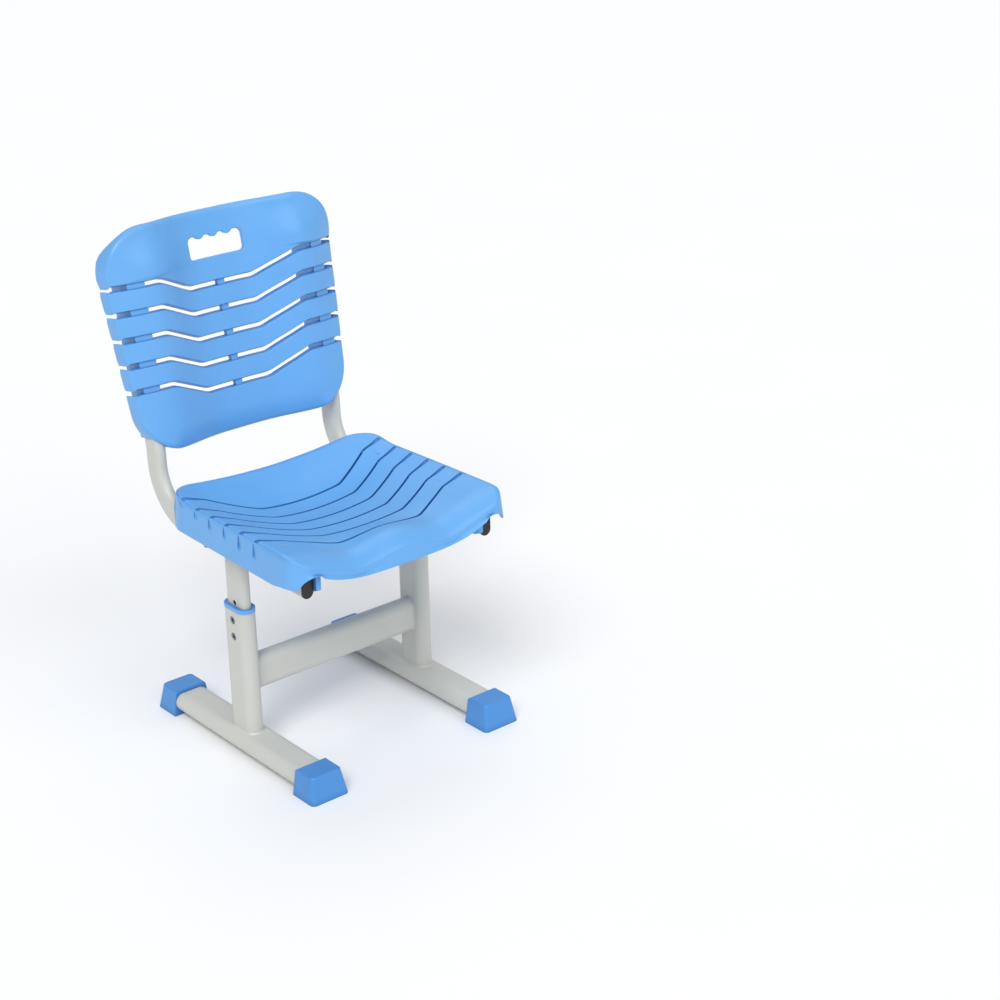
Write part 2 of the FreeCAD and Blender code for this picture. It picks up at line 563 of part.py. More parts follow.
def tube_plug(name, side):
    """Black plastic plug in the side tube's front end."""
    body = new_body(f"tube_plug_{name}")
    lip = sketch_on(body, "Lip", "XZ_Plane")
    flat_oval(lip, "lip", S + "side_tall", S + "side_thin", upright=True)
    head = pad(body, lip, S + "plug_lip", "LipPad")
    doc.recompute()
    rim = [f"Edge{k + 1}" for k, edge in enumerate(head.Shape.Edges)
           if edge.BoundBox.YMax < -size("plug_lip") + 0.01]
    rounded = body.newObject("PartDesign::Fillet", "RimRound")
    rounded.Base = (head, rim)
    rounded.setExpression("Radius", "Sizes.plug_lip / 2")
    spigot = sketch_on(body, "Spigot", "XZ_Plane")
    flat_oval(spigot, "spigot", "Sizes.side_tall - 2 * Sizes.tube_wall",
              "Sizes.side_thin - 2 * Sizes.tube_wall", upright=True)
    pad(body, spigot, S + "plug_depth", "SpigotPad", back=True)
    keep(place(body, side * size("track_width") / 2, -size("side_front"), size("side_axis")))


def brace(name, y):
    """Round tube between the two side tubes, under the seat."""
    body = new_body(f"{name}_brace")
    section = sketch_on(body, "Section", "YZ_Plane")
    circle(section, "outer", S + "brace_diameter")
    circle(section, "inner", "Sizes.brace_diameter - 2 * Sizes.tube_wall")
    pad(body, section, "Sizes.track_width - Sizes.side_thin", symmetric=True)
    keep(place(body, 0, y, size("side_axis")))


# ---------------------------------------------------------------- moulded shells
def rounded_outline(corners):
    """Closed wire through (x, y, radius) corners: straight sides joined by tangent arcs."""
    count = len(corners)
    ends = []
    for k, (x, y, radius) in enumerate(corners):
        here = Vector(x, y, 0)
        before = Vector(*corners[k - 1][:2], 0) - here
        after = Vector(*corners[(k + 1) % count][:2], 0) - here
        before.normalize()
        after.normalize()
        half = before.getAngle(after) / 2
        setback = radius / math.tan(half)
        middle = before + after
        middle.normalize()
        centre = here + middle * (radius / math.sin(half))
        ends.append((here + before * setback, centre - middle * radius, here + after * setback))
    edges = []
    for k, (start, on_arc, end) in enumerate(ends):
        edges.append(Part.Arc(start, on_arc, end).toShape())
        edges.append(Part.LineSegment(end, ends[(k + 1) % count][0]).toShape())
    return Part.Wire(edges)


def prism(wire, low, high):
    """Upright solid on a closed flat wire, between two heights."""
    face = Part.Face(wire)
    face.translate(Vector(0, 0, low))
    return face.extrude(Vector(0, 0, high - low))


def block_under(height, half_width, low_y, high_y, drop=0.0):
    """Solid under the smooth face z = height(x, y), a good way down."""
    across = [half_width * (k / 8 - 1) for k in range(17)]
    along = [low_y + (high_y - low_y) * k / 18 for k in range(19)]
    grid = [[Vector(x, y, height(x, y) - drop) for y in along] for x in across]
    surface = Part.BSplineSurface()
    surface.interpolate(grid)
    return surface.toShape().extrude(Vector(0, 0, -200))


def moulded_tray(height, corners, inset_corners, wall, rim, edge_round, reach):
    """Shell with a free-form face and a rim all round: returns shell, outer block, inner block."""
    under = [block_under(height, *reach, drop=drop) for drop in (0.0, wall)]
    outer = under[0].common(prism(rounded_outline(corners), rim, 1000))
    inner = under[1].common(prism(rounded_outline(inset_corners), rim - 10, 1000))
    face = max(outer.Faces, key=lambda f: f.CenterOfMass.z if f.Area > 20000 else -1e9)
    outer = outer.makeFillet(edge_round, face.Edges)
    return outer.cut(inner), outer, under[1]


def chevron_band(x_ends, x_outer, x_inner, y_end, y_middle, width, low, high):
    """Zigzag strip across the piece: straight ends, two slopes and a flat middle."""
    stations = [(-x_ends, y_end), (-x_outer, y_end), (-x_inner, y_middle),
                (x_inner, y_middle), (x_outer, y_end), (x_ends, y_end)]
    upper = [Vector(x, y + width / 2, 0) for x, y in stations]
    lower = [Vector(x, y - width / 2, 0) for x, y in reversed(stations)]
    return prism(Part.makePolygon(upper + lower + upper[:1]), low, high)


def smooth(amount):
    """0 to 1 with level ends."""
    amount = min(max(amount, 0.0), 1.0)
    return amount * amount * (3 - 2 * amount)


def shape_piece(label, shape):
    piece = doc.addObject("Part::Feature", label)
    piece.Label = label
    piece.Shape = shape
    return piece


# Seat: a dish that deepens towards the rear, rolls over the front edge, and stands a little
# proud between the thighs.
DISH_Y = 40.0
ROLL_Y = -165.0
FRONT_DROP = 28.0
CORNER_DROP = 12.0
CROWN = 9.0
REAR_CORNER_LIFT = 10.0


def seat_height(x, y):
    if y > DISH_Y:
        centre = size("seat_low") + size("seat_rear_lift") * ((y - DISH_Y) / (size("seat_rear") - DISH_Y)) ** 2
    else:
        reach = (DISH_Y - y) / (DISH_Y + 175)
        centre = size("seat_low") + size("seat_front_lift") * min(reach, 1.1) ** 1.5
    side = min(abs(x) / (size("seat_rear_width") / 2 - 4), 1.1)
    crest = size("seat_side") + REAR_CORNER_LIFT * smooth((y - 70) / 80)
    height = centre + (crest - centre) * side ** 2
    height += CROWN * math.exp(-(x / 48) ** 2) * smooth((-90 - y) / 80)
    if y < ROLL_Y:
        drop = CORNER_DROP + (FRONT_DROP - CORNER_DROP) * max(0.0, 1 - (x / 200) ** 2)
        height -= drop * ((ROLL_Y - y) / (ROLL_Y + size("seat_front"))) ** 2
    return height


def seat_corners(inset):
    front = size("seat_front_width") / 2 - inset
    rear = size("seat_rear_width") / 2 - inset
    back = size("seat_rear") - inset
    ahead = -size("seat_front") + inset
    return [(-front, ahead, 38 - inset), (front, ahead, 38 - inset),
            (rear, back, 52 - inset), (-rear, back, 52 - inset)]


def boss(x, y, high, low):
    return Part.makeCylinder(size("boss_diameter") / 2, high - low, Vector(x, y, low))


def apron_curve(half):
    """What is cut away under the front apron, whose lower edge rises towards both arches."""
    ends = [Vector(sign * half, -size("seat_front") - 5, size("apron_end")) for sign in (-1, 1)]
    middle = Vector(0, ends[0].y, size("seat_apron"))
    low = Vector(0, 0, size("seat_apron") - 60)
    feet = [Vector(end.x, end.y, low.z) for end in ends]
    edges = [Part.Arc(ends[0], middle, ends[1]).toShape(), Part.LineSegment(ends[1], feet[1]).toShape(),
             Part.LineSegment(feet[1], feet[0]).toShape(), Part.LineSegment(feet[0], ends[0]).toShape()]
    return Part.Face(Part.Wire(edges)).extrude(Vector(0, 30, 0))


def rear_notch(x):
    """Way out of the rear skirt for a side tube, which starts to rise there."""
    skirt_end = size("seat_rear") + 5
    bend_centre_y = size("side_rise") - size("side_bend")
    inner_radius = size("side_bend") - size("side_tall") / 2
    rise = inner_radius - math.sqrt(inner_radius ** 2 - (skirt_end - bend_centre_y) ** 2)
    top = size("side_axis") + size("side_tall") / 2 + rise + size("tube_notch")
    half = size("side_thin") / 2 + size("tube_notch")
    length = size("seat_rear_width") / 4
    return Part.makeBox(2 * half, length, top - 300, Vector(x - half, skirt_end - length, 300))


def seat_pan():
    """One-piece moulded seat: dished face, skirts, grooves, arches, inner ribs and bosses."""
    half = size("seat_front_width") / 2 + 8
    reach = (half, -size("seat_front") - 8, size("seat_rear") + 8)
    wall = size("seat_wall")
    shell, outer, under = moulded_tray(seat_height, seat_corners(0), seat_corners(wall), wall,
                                       size("seat_apron"), size("seat_edge_round"), reach)
    tube_x = size("track_width") / 2
    apron_half = tube_x - size("arch_inner")
    depth = size("seat_front") + size("seat_rear") + 20
    clear_height = size("seat_rim") - size("seat_apron") + 20
    shell = shell.cut(Part.makeBox(2 * half, depth, clear_height, Vector(-half, 25 - size("seat_front"),
                                                                         size("seat_apron") - 20)))
    for side in SIDES.values():
        corner_x = apron_half if side > 0 else -half
        shell = shell.cut(Part.makeBox(half - apron_half, depth, clear_height,
                                       Vector(corner_x, -size("seat_front") - 10, size("seat_apron") - 20)))
    shell = shell.cut(apron_curve(apron_half))
    lowered = outer.copy()
    lowered.translate(Vector(0, 0, -size("groove_depth")))
    for k in range(GROOVES):
        middle = 65 - k * size("groove_pitch")
        band = chevron_band(half, 155, 76, middle + 39, middle, size("groove_width"), 300, 500)
        shell = shell.cut(band.cut(lowered))
    for side in SIDES.values():
        radius = (size("arch_inner") + size("arch_outer")) / 2
        centre = side * (tube_x + (size("arch_outer") - size("arch_inner")) / 2)
        arch = Part.makeCylinder(radius, 40, Vector(centre, -size("seat_front") - 5, size("arch_top") - radius),
                                 Vector(0, 1, 0))
        gate = Part.makeBox(2 * radius, 40, 60,
                            Vector(centre - radius, -size("seat_front") - 5, size("arch_top") - radius - 60))
        shell = shell.cut(arch.fuse(gate)).cut(rear_notch(side * tube_x))
        rib_x = side * (tube_x - size("side_thin") / 2 - 4.2)
        rib_length = size("seat_front") + size("seat_rear") - 69
        rib = Part.makeBox(2.4, rib_length, 100, Vector(rib_x - 1.2, 41 - size("seat_front"), 331))
        for y in (-size("brace_front"), size("brace_rear")):
            clear = size("brace_diameter") / 2 + 1
            notch = Part.makeBox(20, 2 * clear, 2 * clear + 20,
                                 Vector(rib_x - 10, y - clear, size("side_axis") - clear - 20))
            rib = rib.cut(notch)
        shell = shell.fuse(rib.common(under))
        for y in (-size("seat_screw_front"), size("seat_screw_rear")):
            seat_top = size("side_axis") + size("side_tall") / 2
            pillar = boss(side * tube_x, y, 460, seat_top).common(under)
            pilot = Part.makeCylinder(size("seat_screw_diameter") / 2 - 0.3, 30,
                                      Vector(side * tube_x, y, seat_top - 20))
            shell = shell.fuse(pillar).cut(pilot)
    return keep(place(shape_piece("seat_pan", shell.removeSplitter())))


# Backrest, modelled face up: x across, y up along its face, z towards the sitter.
CREST_X = 140.0


def back_height_at(x, y):
    wrap = min(max(16 + 0.0875 * y, 25), size("back_wrap"))
    edge = 12 + 15 * smooth((y - 250) / 110)
    side = abs(x)
    if side <= CREST_X:
        face = wrap * math.sin(math.pi * side / (2 * CREST_X)) ** 4
    else:
        face = wrap + (edge - wrap) * min((side - CREST_X) / 68, 1.2) ** 1.7
    curl = 10 * max(0.0, (40 - y) / 40) ** 2 * (1 - smooth((side - 125) / 30))
    return face - curl


def back_corners(inset):
    top = size("back_top_width") / 2 - inset
    low = size("back_bottom_width") / 2 - inset
    high = size("back_height") - inset
    return [(-low, inset, 76 - inset), (low, inset, 76 - inset),
            (top, high, 70 - inset), (-top, high, 70 - inset)]


def grip_opening():
    """Rounded hand opening with three finger lobes hanging from its upper edge."""
    half = size("grip_width") / 2
    low = size("grip_bottom")
    high = low + size("grip_height")
    corners = [(-half, low, 7), (half, low, 7), (half, high, 9), (-half, high, 9)]
    opening = prism(rounded_outline(corners), -80, 80)
    for x in (-26, 0, 26):
        lobe = Part.makeCylinder(9, 160, Vector(x, high + 4, -80))
        opening = opening.cut(lobe)
    return opening


def backrest_shell():
    """One-piece moulded backrest: slats, hand grip, rear sleeves for the tubes and a centre rib."""
    half = size("back_top_width") / 2 + 8
    reach = (half, -8, size("back_height") + 8)
    wall = size("back_wall")
    shell, outer, under = moulded_tray(back_height_at, back_corners(0), back_corners(wall), wall,
                                       -size("back_rim"), size("back_edge_round"), reach)
    for k in range(SLATS):
        end = size("slot_first") + k * size("slot_pitch")
        band = chevron_band(half, 130, 59, end, end - size("slot_drop"), size("slot_width"), -60, 80)
        shell = shell.cut(band)
    shell = shell.cut(grip_opening())
    tube_x = size("track_width") / 2
    width = size("side_thin") + 2 * size("sleeve_wall")
    socket_section = size("side_thin") / 2 + size("sleeve_gap")
    socket_reach = size("side_tall") / 2 - size("side_thin") / 2
    for side in SIDES.values():
        sleeve = Part.makeBox(width, size("sleeve_top") - size("sleeve_foot"), SLEEVE_BACK + 80,
                              Vector(side * tube_x - width / 2, size("sleeve_foot"), -SLEEVE_BACK))
        shell = shell.fuse(sleeve.common(under))
        centre = Vector(side * tube_x, -60, -size("tube_setback"))
        oval = Part.makeBox(2 * socket_section, size("tube_end") + 60.5, 2 * socket_reach,
                            centre + Vector(-socket_section, 0, -socket_reach))
        for end in (-1, 1):
            oval = oval.fuse(Part.makeCylinder(socket_section, size("tube_end") + 60.5,
                                               centre + Vector(0, 0, end * socket_reach), Vector(0, 1, 0)))
        shell = shell.cut(oval)
        for key in ("low", "high"):
            bore = Part.makeCylinder(size("back_screw_diameter") / 2 + size("screw_hole_gap"), 20,
                                     Vector(side * tube_x, size(f"back_screw_{key}"), -SLEEVE_BACK - 1))
            shell = shell.cut(bore)
    rib_top = size("slot_first") + SLATS * size("slot_pitch") - size("slot_drop")
    rib = Part.makeBox(size("rib_width"), rib_top - 40, 80, Vector(-size("rib_width") / 2, 40, -wall - size("rib_depth")))
    shell = shell.fuse(rib.common(under))
    turn = Rotation(Vector(1, 0, 0), 90 - size("back_recline"))
    return keep(place(shape_piece("backrest_shell", shell.removeSplitter()), 0, size("back_setback"),
                      size("back_bottom"), turn))


# ---------------------------------------------------------------- fixing screws
def pan_head_screw(name, diameter, length, position, direction):
    """Screw as a head and a shank, with its head's underside at position, pointing along direction."""
    head = doc.addObject("Part::Cylinder", name + "_head")
    head.setExpression("Radius", f"{diameter} * 0.95")
    head.setExpression("Height", f"{diameter} * 0.55")
    head.setExpression("Placement.Base.z", f"-{diameter} * 0.55")
    shank = doc.addObject("Part::Cylinder", name + "_shank")
    shank.setExpression("Radius", f"{diameter} / 2 - 0.3")
    shank.setExpression("Height", length)
    drive = doc.addObject("Part::Box", name + "_drive")
    drive.setExpression("Length", f"{diameter} * 1.1")
    drive.setExpression("Width", f"{diameter} * 0.22")
    drive.setExpression("Height", f"{diameter} * 0.3")
    drive.setExpression("Placement.Base.x", f"-{diameter} * 0.55")
    drive.setExpression("Placement.Base.y", f"-{diameter} * 0.11")
    drive.setExpression("Placement.Base.z", f"-{diameter} * 0.55")
    cross = doc.addObject("Part::Box", name + "_cross")
    cross.setExpression("Length", f"{diameter} * 0.22")
    cross.setExpression("Width", f"{diameter} * 1.1")
    cross.setExpression("Height", f"{diameter} * 0.3")
    cross.setExpression("Placement.Base.x", f"-{diameter} * 0.11")
    cross.setExpression("Placement.Base.y", f"-{diameter} * 0.55")
    cross.setExpression("Placement.Base.z", f"-{diameter} * 0.55")
    solid = doc.addObject("Part::Fuse", name + "_solid")
    solid.Base = head
    solid.Tool = shank
    recess = doc.addObject("Part::Fuse", name + "_recess")
    recess.Base = drive
    recess.Tool = cross
    screw = doc.addObject("Part::Cut", name)
    screw.Base = solid
    screw.Tool = recess
    screw.Placement = Placement(position, Rotation(Vector(0, 0, 1), direction))
    return screw


def screw_group(label, screws):
    group = doc.addObject("Part::Compound", label)
    group.Label = label
    group.Links = screws
    return keep(place(group))


def seat_screws():
    """Four screws up through the side tubes into the seat's bosses."""
    screws = []
    low = size("side_axis") - size("side_tall") / 2
    for name, side in SIDES.items():
        for key, y in (("front", -size("seat_screw_front")), ("rear", size("seat_screw_rear"))):
            at = Vector(side * size("track_width") / 2, y, low)
            screws.append(pan_head_screw(f"seat_screw_{key}_{name}", S + "seat_screw_diameter",
                                         S + "seat_screw_length", at, Vector(0, 0, 1)))
    screw_group("seat_screws", screws)


def backrest_screws():
    """Four screws through the sleeves' rear walls into the side tubes."""
    screws = []
    origin = Vector(0, size("back_setback"), size("back_bottom"))
    for name, side in SIDES.items():
        for key in ("low", "high"):
            at = (origin + PATH["run_along"] * size(f"back_screw_{key}") + PATH["normal"] * SLEEVE_BACK
                  + Vector(side * size("track_width") / 2, 0, 0))
            screws.append(pan_head_screw(f"back_screw_{key}_{name}", S + "back_screw_diameter",
                                         S + "back_screw_length", at, PATH["normal"] * -1))
    screw_group("backrest_screws", screws)


# ---------------------------------------------------------------- build, check and write
for side_name, side_sign in SIDES.items():
    floor_rail(side_name, side_sign)
    for end_sign in (-1, 1):
        foot_cap(side_name, side_sign, end_sign)
    outer_column(side_name, side_sign)
    column_collar(side_name, side_sign)
    lock_bushes(side_name, side_sign)
    for index, lock_height in enumerate(LOCK_HEIGHTS):
        lock_screw(side_name, side_sign, index, lock_height)
    inner_column(side_name, side_sign)
    glide_shoe(side_name, side_sign)
    side_tube(side_name, side_sign)
    tube_plug(side_name, side_sign)
crossbeam()
brace("front", -size("brace_front"))
brace("rear", size("brace_rear"))
seat_pan()
seat_screws()
backrest_shell()
backrest_screws()
doc.recompute()

for item in doc.Objects:
    if {"Invalid", "Error"} & set(item.State):
        raise RuntimeError(f"{item.Label} failed: {item.State}")
os.makedirs("parts", exist_ok=True)
for piece in PIECES:
    if piece.Shape.isNull() or not piece.Shape.isValid():
        raise RuntimeError(f"{piece.Label} has no valid shape")
    piece.Shape.exportStep(os.path.join("parts", piece.Label + ".step"))
    print(f"{piece.Label:28s} solids {len(piece.Shape.Solids)} volume {piece.Shape.Volume / 1000:9.2f} cm3")
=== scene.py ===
# %% [markdown]
# # Student desk chair
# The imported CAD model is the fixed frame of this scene. The steel parts keep their CAD shape and
# get real finishes, and the two big mouldings, the seat and the backrest, are made here as fine
# quad meshes, because their grooves, rolled edges and slats are what the eye reads first.

# %% Load the frame
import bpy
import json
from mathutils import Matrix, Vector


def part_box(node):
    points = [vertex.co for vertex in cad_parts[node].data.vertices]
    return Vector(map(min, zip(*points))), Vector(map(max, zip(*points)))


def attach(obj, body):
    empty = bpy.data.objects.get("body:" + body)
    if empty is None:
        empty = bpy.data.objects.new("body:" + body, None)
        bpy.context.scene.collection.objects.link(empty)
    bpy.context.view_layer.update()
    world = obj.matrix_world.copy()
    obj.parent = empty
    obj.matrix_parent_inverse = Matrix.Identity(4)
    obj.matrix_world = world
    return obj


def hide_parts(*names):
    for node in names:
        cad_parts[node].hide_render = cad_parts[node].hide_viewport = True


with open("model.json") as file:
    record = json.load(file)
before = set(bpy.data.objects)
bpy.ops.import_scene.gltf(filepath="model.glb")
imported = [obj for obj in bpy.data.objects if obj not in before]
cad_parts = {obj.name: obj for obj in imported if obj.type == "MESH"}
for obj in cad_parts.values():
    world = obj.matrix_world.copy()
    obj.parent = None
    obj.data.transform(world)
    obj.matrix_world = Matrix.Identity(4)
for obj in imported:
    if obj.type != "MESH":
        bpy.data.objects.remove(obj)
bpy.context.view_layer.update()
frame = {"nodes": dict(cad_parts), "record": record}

import bpy
import bmesh
import json
import math
from mathutils import Matrix, Vector

MM = 0.001

# %% [markdown]
# ## Places taken from the frame
# Everything is measured from the columns, so their front-to-back place is read from the frame once.
# The tubes' place across the chair comes from the same box.

# %% Column line and tube line
column_low, column_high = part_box("outer_column_left")
COLUMN_Y = (column_low[1] + column_high[1]) / 2 / MM
TUBE_X = (column_low[0] + column_high[0]) / 2 / MM
print(f"columns at y {COLUMN_Y:.2f} mm, tubes at x {TUBE_X:.2f} mm either side")

# %% [markdown]
# ## Material tools
# A finish is a small network of nodes. One function adds a node, sets its values and links it.
# Colours are written as sRGB hex, as on a colour card, and turned to the linear values that
# Blender mixes light with.


# %% Node and colour helpers
def linear(code):
    """An sRGB hex colour as the linear RGBA that a shader takes."""
    channels = [int(code[k:k + 2], 16) / 255 for k in (1, 3, 5)]
    return [c / 12.92 if c <= 0.04045 else ((c + 0.055) / 1.055) ** 2.4 for c in channels] + [1.0]


def add(tree, kind, settings=None, inputs=None):
    """A node with its settings and its inputs, each input a value or another node's output."""
    node = tree.nodes.new(kind)
    for name, value in (settings or {}).items():
        setattr(node, name, value)
    for name, value in (inputs or {}).items():
        if isinstance(value, bpy.types.NodeSocket):
            tree.links.new(value, node.inputs[name])
        else:
            node.inputs[name].default_value = value
    return node


def finish_of(name, roughness, ior=1.5, metallic=0.0):
    """A new material with its shader and the object's own coordinates, so patterns ride with the part."""
    material = bpy.data.materials.new(name)
    material.use_nodes = True
    tree = material.node_tree
    shader = tree.nodes["Principled BSDF"]
    shader.inputs["Roughness"].default_value = roughness
    shader.inputs["IOR"].default_value = ior
    shader.inputs["Metallic"].default_value = metallic
    place = add(tree, "ShaderNodeTexCoord").outputs["Object"]
    return material, tree, shader, place


def per_metre(size_mm):
    """Noise scale whose features are about size_mm across."""
    return 1.0 / (size_mm * MM)


FIRST, SECOND, MIXED = 6, 7, 2  # a Mix node's two colour inputs and its colour output
print("sky blue in linear values:", [round(v, 3) for v in linear("#69AAE6")])


# %% [markdown]
# ## Moulded polypropylene
# The seat, backrest, collars and foot caps are injection-moulded polypropylene. The mould's fine
# spark-eroded grain makes a satin surface: it spreads the highlight but keeps it visible, and the
# pigment is a little uneven over a hand's width. A noise of grain size drives bump and roughness.
# Grain of 0.15 mm is too fine to show from across a room, so it is drawn about 0.9 mm. Recesses
# a few millimetres wide get painted shade: an ambient-occlusion node darkens the colour towards a
# deeper tone of the same blue where nearby surfaces shut the spot in.


# %% Polypropylene
CLOUD_MM, RUB_MM = 70, 18  # pigment uneven over a hand's width, sheen rubbed over a thumb's
GRAIN_MM, GRAIN_DEEP_MM = 0.9, 0.012
NOISE_LOW, NOISE_HIGH = 0.3, 0.7  # the values that a noise mostly stays between
GLOSSIER, DULLER = 0.05, 0.06  # how far rubbed patches leave the mean roughness
# Painted shade in recesses: how far the ambient-occlusion node looks for surfaces that shut a spot in, and
# the openness at which the painted shade is full and at which it is gone.
PAINTED_SHADE_REACH = 13.0  # millimetres of recess that deepen the tone
PAINTED_SHADE_FULL_AT, PAINTED_SHADE_NONE_AT = 0.3, 0.97  # open air above the surface: shut in, and as good as free
FEELERS = 6  # rays that feel for a recess or an edge


def moulded_plastic(name, colour, shade, recess, roughness, edge_mm=0.0):
    """Satin plastic: clouded pigment, painted shade in recesses, with a fine grain and rubbed patches."""
    material, tree, shader, place = finish_of(name, roughness, ior=1.49)
    cloudy = add(tree, "ShaderNodeTexNoise",
                 inputs={"Vector": place, "Scale": per_metre(CLOUD_MM), "Detail": 2.0})
    grain = add(tree, "ShaderNodeTexNoise",
                inputs={"Vector": place, "Scale": per_metre(GRAIN_MM), "Detail": 3.0, "Roughness": 0.6})
    rubbed = add(tree, "ShaderNodeTexNoise",
                 inputs={"Vector": place, "Scale": per_metre(RUB_MM), "Detail": 5.0})
    tint = add(tree, "ShaderNodeMix", {"data_type": "RGBA"},
               {"Factor": cloudy.outputs["Fac"], FIRST: linear(colour), SECOND: linear(shade)})
    # Painted shade: an ambient-occlusion node darkens the colour towards the recess colour wherever nearby
    # surfaces shut the spot in.
    hidden = add(tree, "ShaderNodeAmbientOcclusion", {"samples": FEELERS}, {"Distance": PAINTED_SHADE_REACH * MM})
    unshaded_share = add(tree, "ShaderNodeMapRange", inputs={"Value": hidden.outputs["AO"], "From Min": PAINTED_SHADE_FULL_AT,
                                                       "From Max": PAINTED_SHADE_NONE_AT})
    with_painted_shade = add(tree, "ShaderNodeMix", {"data_type": "RGBA"},
                {"Factor": unshaded_share.outputs["Result"], FIRST: linear(recess), SECOND: tint.outputs[MIXED]})
    tree.links.new(with_painted_shade.outputs[MIXED], shader.inputs["Base Color"])
    gloss = add(tree, "ShaderNodeMapRange",
                inputs={"Value": rubbed.outputs["Fac"], "From Min": NOISE_LOW, "From Max": NOISE_HIGH,
                        "To Min": roughness - GLOSSIER, "To Max": roughness + DULLER})
    tree.links.new(gloss.outputs["Result"], shader.inputs["Roughness"])
    bump = add(tree, "ShaderNodeBump", inputs={"Height": grain.outputs["Fac"], "Strength": 0.5,
                                               "Distance": GRAIN_DEEP_MM * MM})
    if edge_mm:
        # The mould's corners are eased by a millimetre or two, so each edge catches a thin light.
        eased = add(tree, "ShaderNodeBevel", {"samples": FEELERS}, {"Radius": edge_mm * MM})
        tree.links.new(eased.outputs["Normal"], bump.inputs["Normal"])
    tree.links.new(bump.outputs["Normal"], shader.inputs["Normal"])
    return material


# The third colour of each plastic is the painted shade that its recesses are darkened towards.
SKY_BLUE = moulded_plastic("moulded polypropylene, sky blue satin", "#69AAE6", "#5FA2DF", "#2561A6",
                           0.34)
CAP_BLUE = moulded_plastic("moulded polypropylene, mid blue foot cap", "#4A8ED2", "#4286CA", "#2C66AA", 0.34,
                           edge_mm=2.0)
BLACK = moulded_plastic("moulded polyethylene, black plug", "#141517", "#1C1D20", "#0C0D0E", 0.45)
print("plastics:", SKY_BLUE.name, "|", CAP_BLUE.name, "|", BLACK.name)

# %% [markdown]
# ## Powder coat
# The steel tubes are sprayed with polyester powder and baked. The powder melts to a skin that is
# faintly wavy, which painters call orange peel: about 2 mm from crest to crest and a few
# hundredths of a millimetre deep, with a finer tooth on it. It gives a soft, slightly broken
# highlight on a warm light grey.


# %% Powder-coated steel
SPRAY_MM = 90  # the coat's thickness wanders over this length
PEEL_MM, PEEL_DEEP_MM = 2.2, 0.03
TOOTH_MM, TOOTH_DEEP_MM = 0.7, 0.01


def powder_coat(name, colour, shade, roughness):
    """Baked powder: an even colour, orange peel, and a finer tooth on it."""
    material, tree, shader, place = finish_of(name, roughness)
    cloudy = add(tree, "ShaderNodeTexNoise",
                 inputs={"Vector": place, "Scale": per_metre(SPRAY_MM), "Detail": 2.0})
    tint = add(tree, "ShaderNodeMix", {"data_type": "RGBA"},
               {"Factor": cloudy.outputs["Fac"], FIRST: linear(colour), SECOND: linear(shade)})
    tree.links.new(tint.outputs[MIXED], shader.inputs["Base Color"])
    peel = add(tree, "ShaderNodeTexNoise",
               inputs={"Vector": place, "Scale": per_metre(PEEL_MM), "Detail": 1.0})
    tooth = add(tree, "ShaderNodeTexNoise",
                inputs={"Vector": place, "Scale": per_metre(TOOTH_MM), "Detail": 2.0})
    waves = add(tree, "ShaderNodeBump", inputs={"Height": peel.outputs["Fac"], "Strength": 0.5,
                                                "Distance": PEEL_DEEP_MM * MM})
    bump = add(tree, "ShaderNodeBump",
               inputs={"Height": tooth.outputs["Fac"], "Strength": 0.4,
                       "Distance": TOOTH_DEEP_MM * MM, "Normal": waves.outputs["Normal"]})
    tree.links.new(bump.outputs["Normal"], shader.inputs["Normal"])
    return material


GREY_COAT = powder_coat("polyester powder coat, warm light grey", "#C9CAC3", "#C2C3BC", 0.38)
print("coat:", GREY_COAT.name)

# %% [markdown]
# ## Zinc-plated steel
# Screws and threaded bushes are turned steel with a thin zinc layer. The lathe leaves rings a few
# tenths of a millimetre apart, and the plating is spangled with duller patches.


# %% Zinc-plated steel
SPANGLE_MM, RINGS_MM, RINGS_DEEP_MM = 1.6, 0.5, 0.01


def zinc_plate(name, colour, shade, roughness):
    """Turned and plated steel: spangled patches over fine tool marks."""
    material, tree, shader, place = finish_of(name, roughness, metallic=1.0)
    spangle = add(tree, "ShaderNodeTexVoronoi", inputs={"Vector": place, "Scale": per_metre(SPANGLE_MM)})
    tint = add(tree, "ShaderNodeMix", {"data_type": "RGBA"},
               {"Factor": spangle.outputs["Distance"], FIRST: linear(colour), SECOND: linear(shade)})
    tree.links.new(tint.outputs[MIXED], shader.inputs["Base Color"])
    rings = add(tree, "ShaderNodeTexNoise",
                inputs={"Vector": place, "Scale": per_metre(RINGS_MM), "Detail": 1.0})
    bump = add(tree, "ShaderNodeBump", inputs={"Height": rings.outputs["Fac"], "Strength": 0.4,
                                               "Distance": RINGS_DEEP_MM * MM})
    tree.links.new(bump.outputs["Normal"], shader.inputs["Normal"])
    return material


ZINC = zinc_plate("zinc-plated steel, turned", "#8E9094", "#6E7074", 0.38)
print("plating:", ZINC.name)

# %% [markdown]
# ## Give the CAD parts their finishes
# The record names a slot for every node. The foot caps are a deeper blue than the seat, so they
# are the one exception to the slot's own finish.

# %% Assign finishes
FINISHES = {"grey_powder_coat": GREY_COAT, "blue_plastic": SKY_BLUE, "black_plastic": BLACK,
            "zinc_steel": ZINC}
slot_of = {part["node"]: part["material_slot"] for part in frame["record"]["subparts"]}
for node, thing in frame["nodes"].items():
    finish = CAP_BLUE if node.startswith("foot_cap") else FINISHES[slot_of[node]]
    for slot in thing.material_slots:
        slot.material = finish
print("nodes with a finish:", len(frame["nodes"]))

# %% [markdown]
# ## How a moulding is built
# A moulded shell is one skin of plastic: a face, an edge that rolls over, a skirt, the skirt's
# rim, and the hidden inner side one wall thickness behind. A height field alone has no edge, and
# a solidified plane has a square one, so each panel is built as rows of points on its face, and
# the loop round the rows is then swept through the edge's profile and joined to the inner side.

# %% Small shape functions


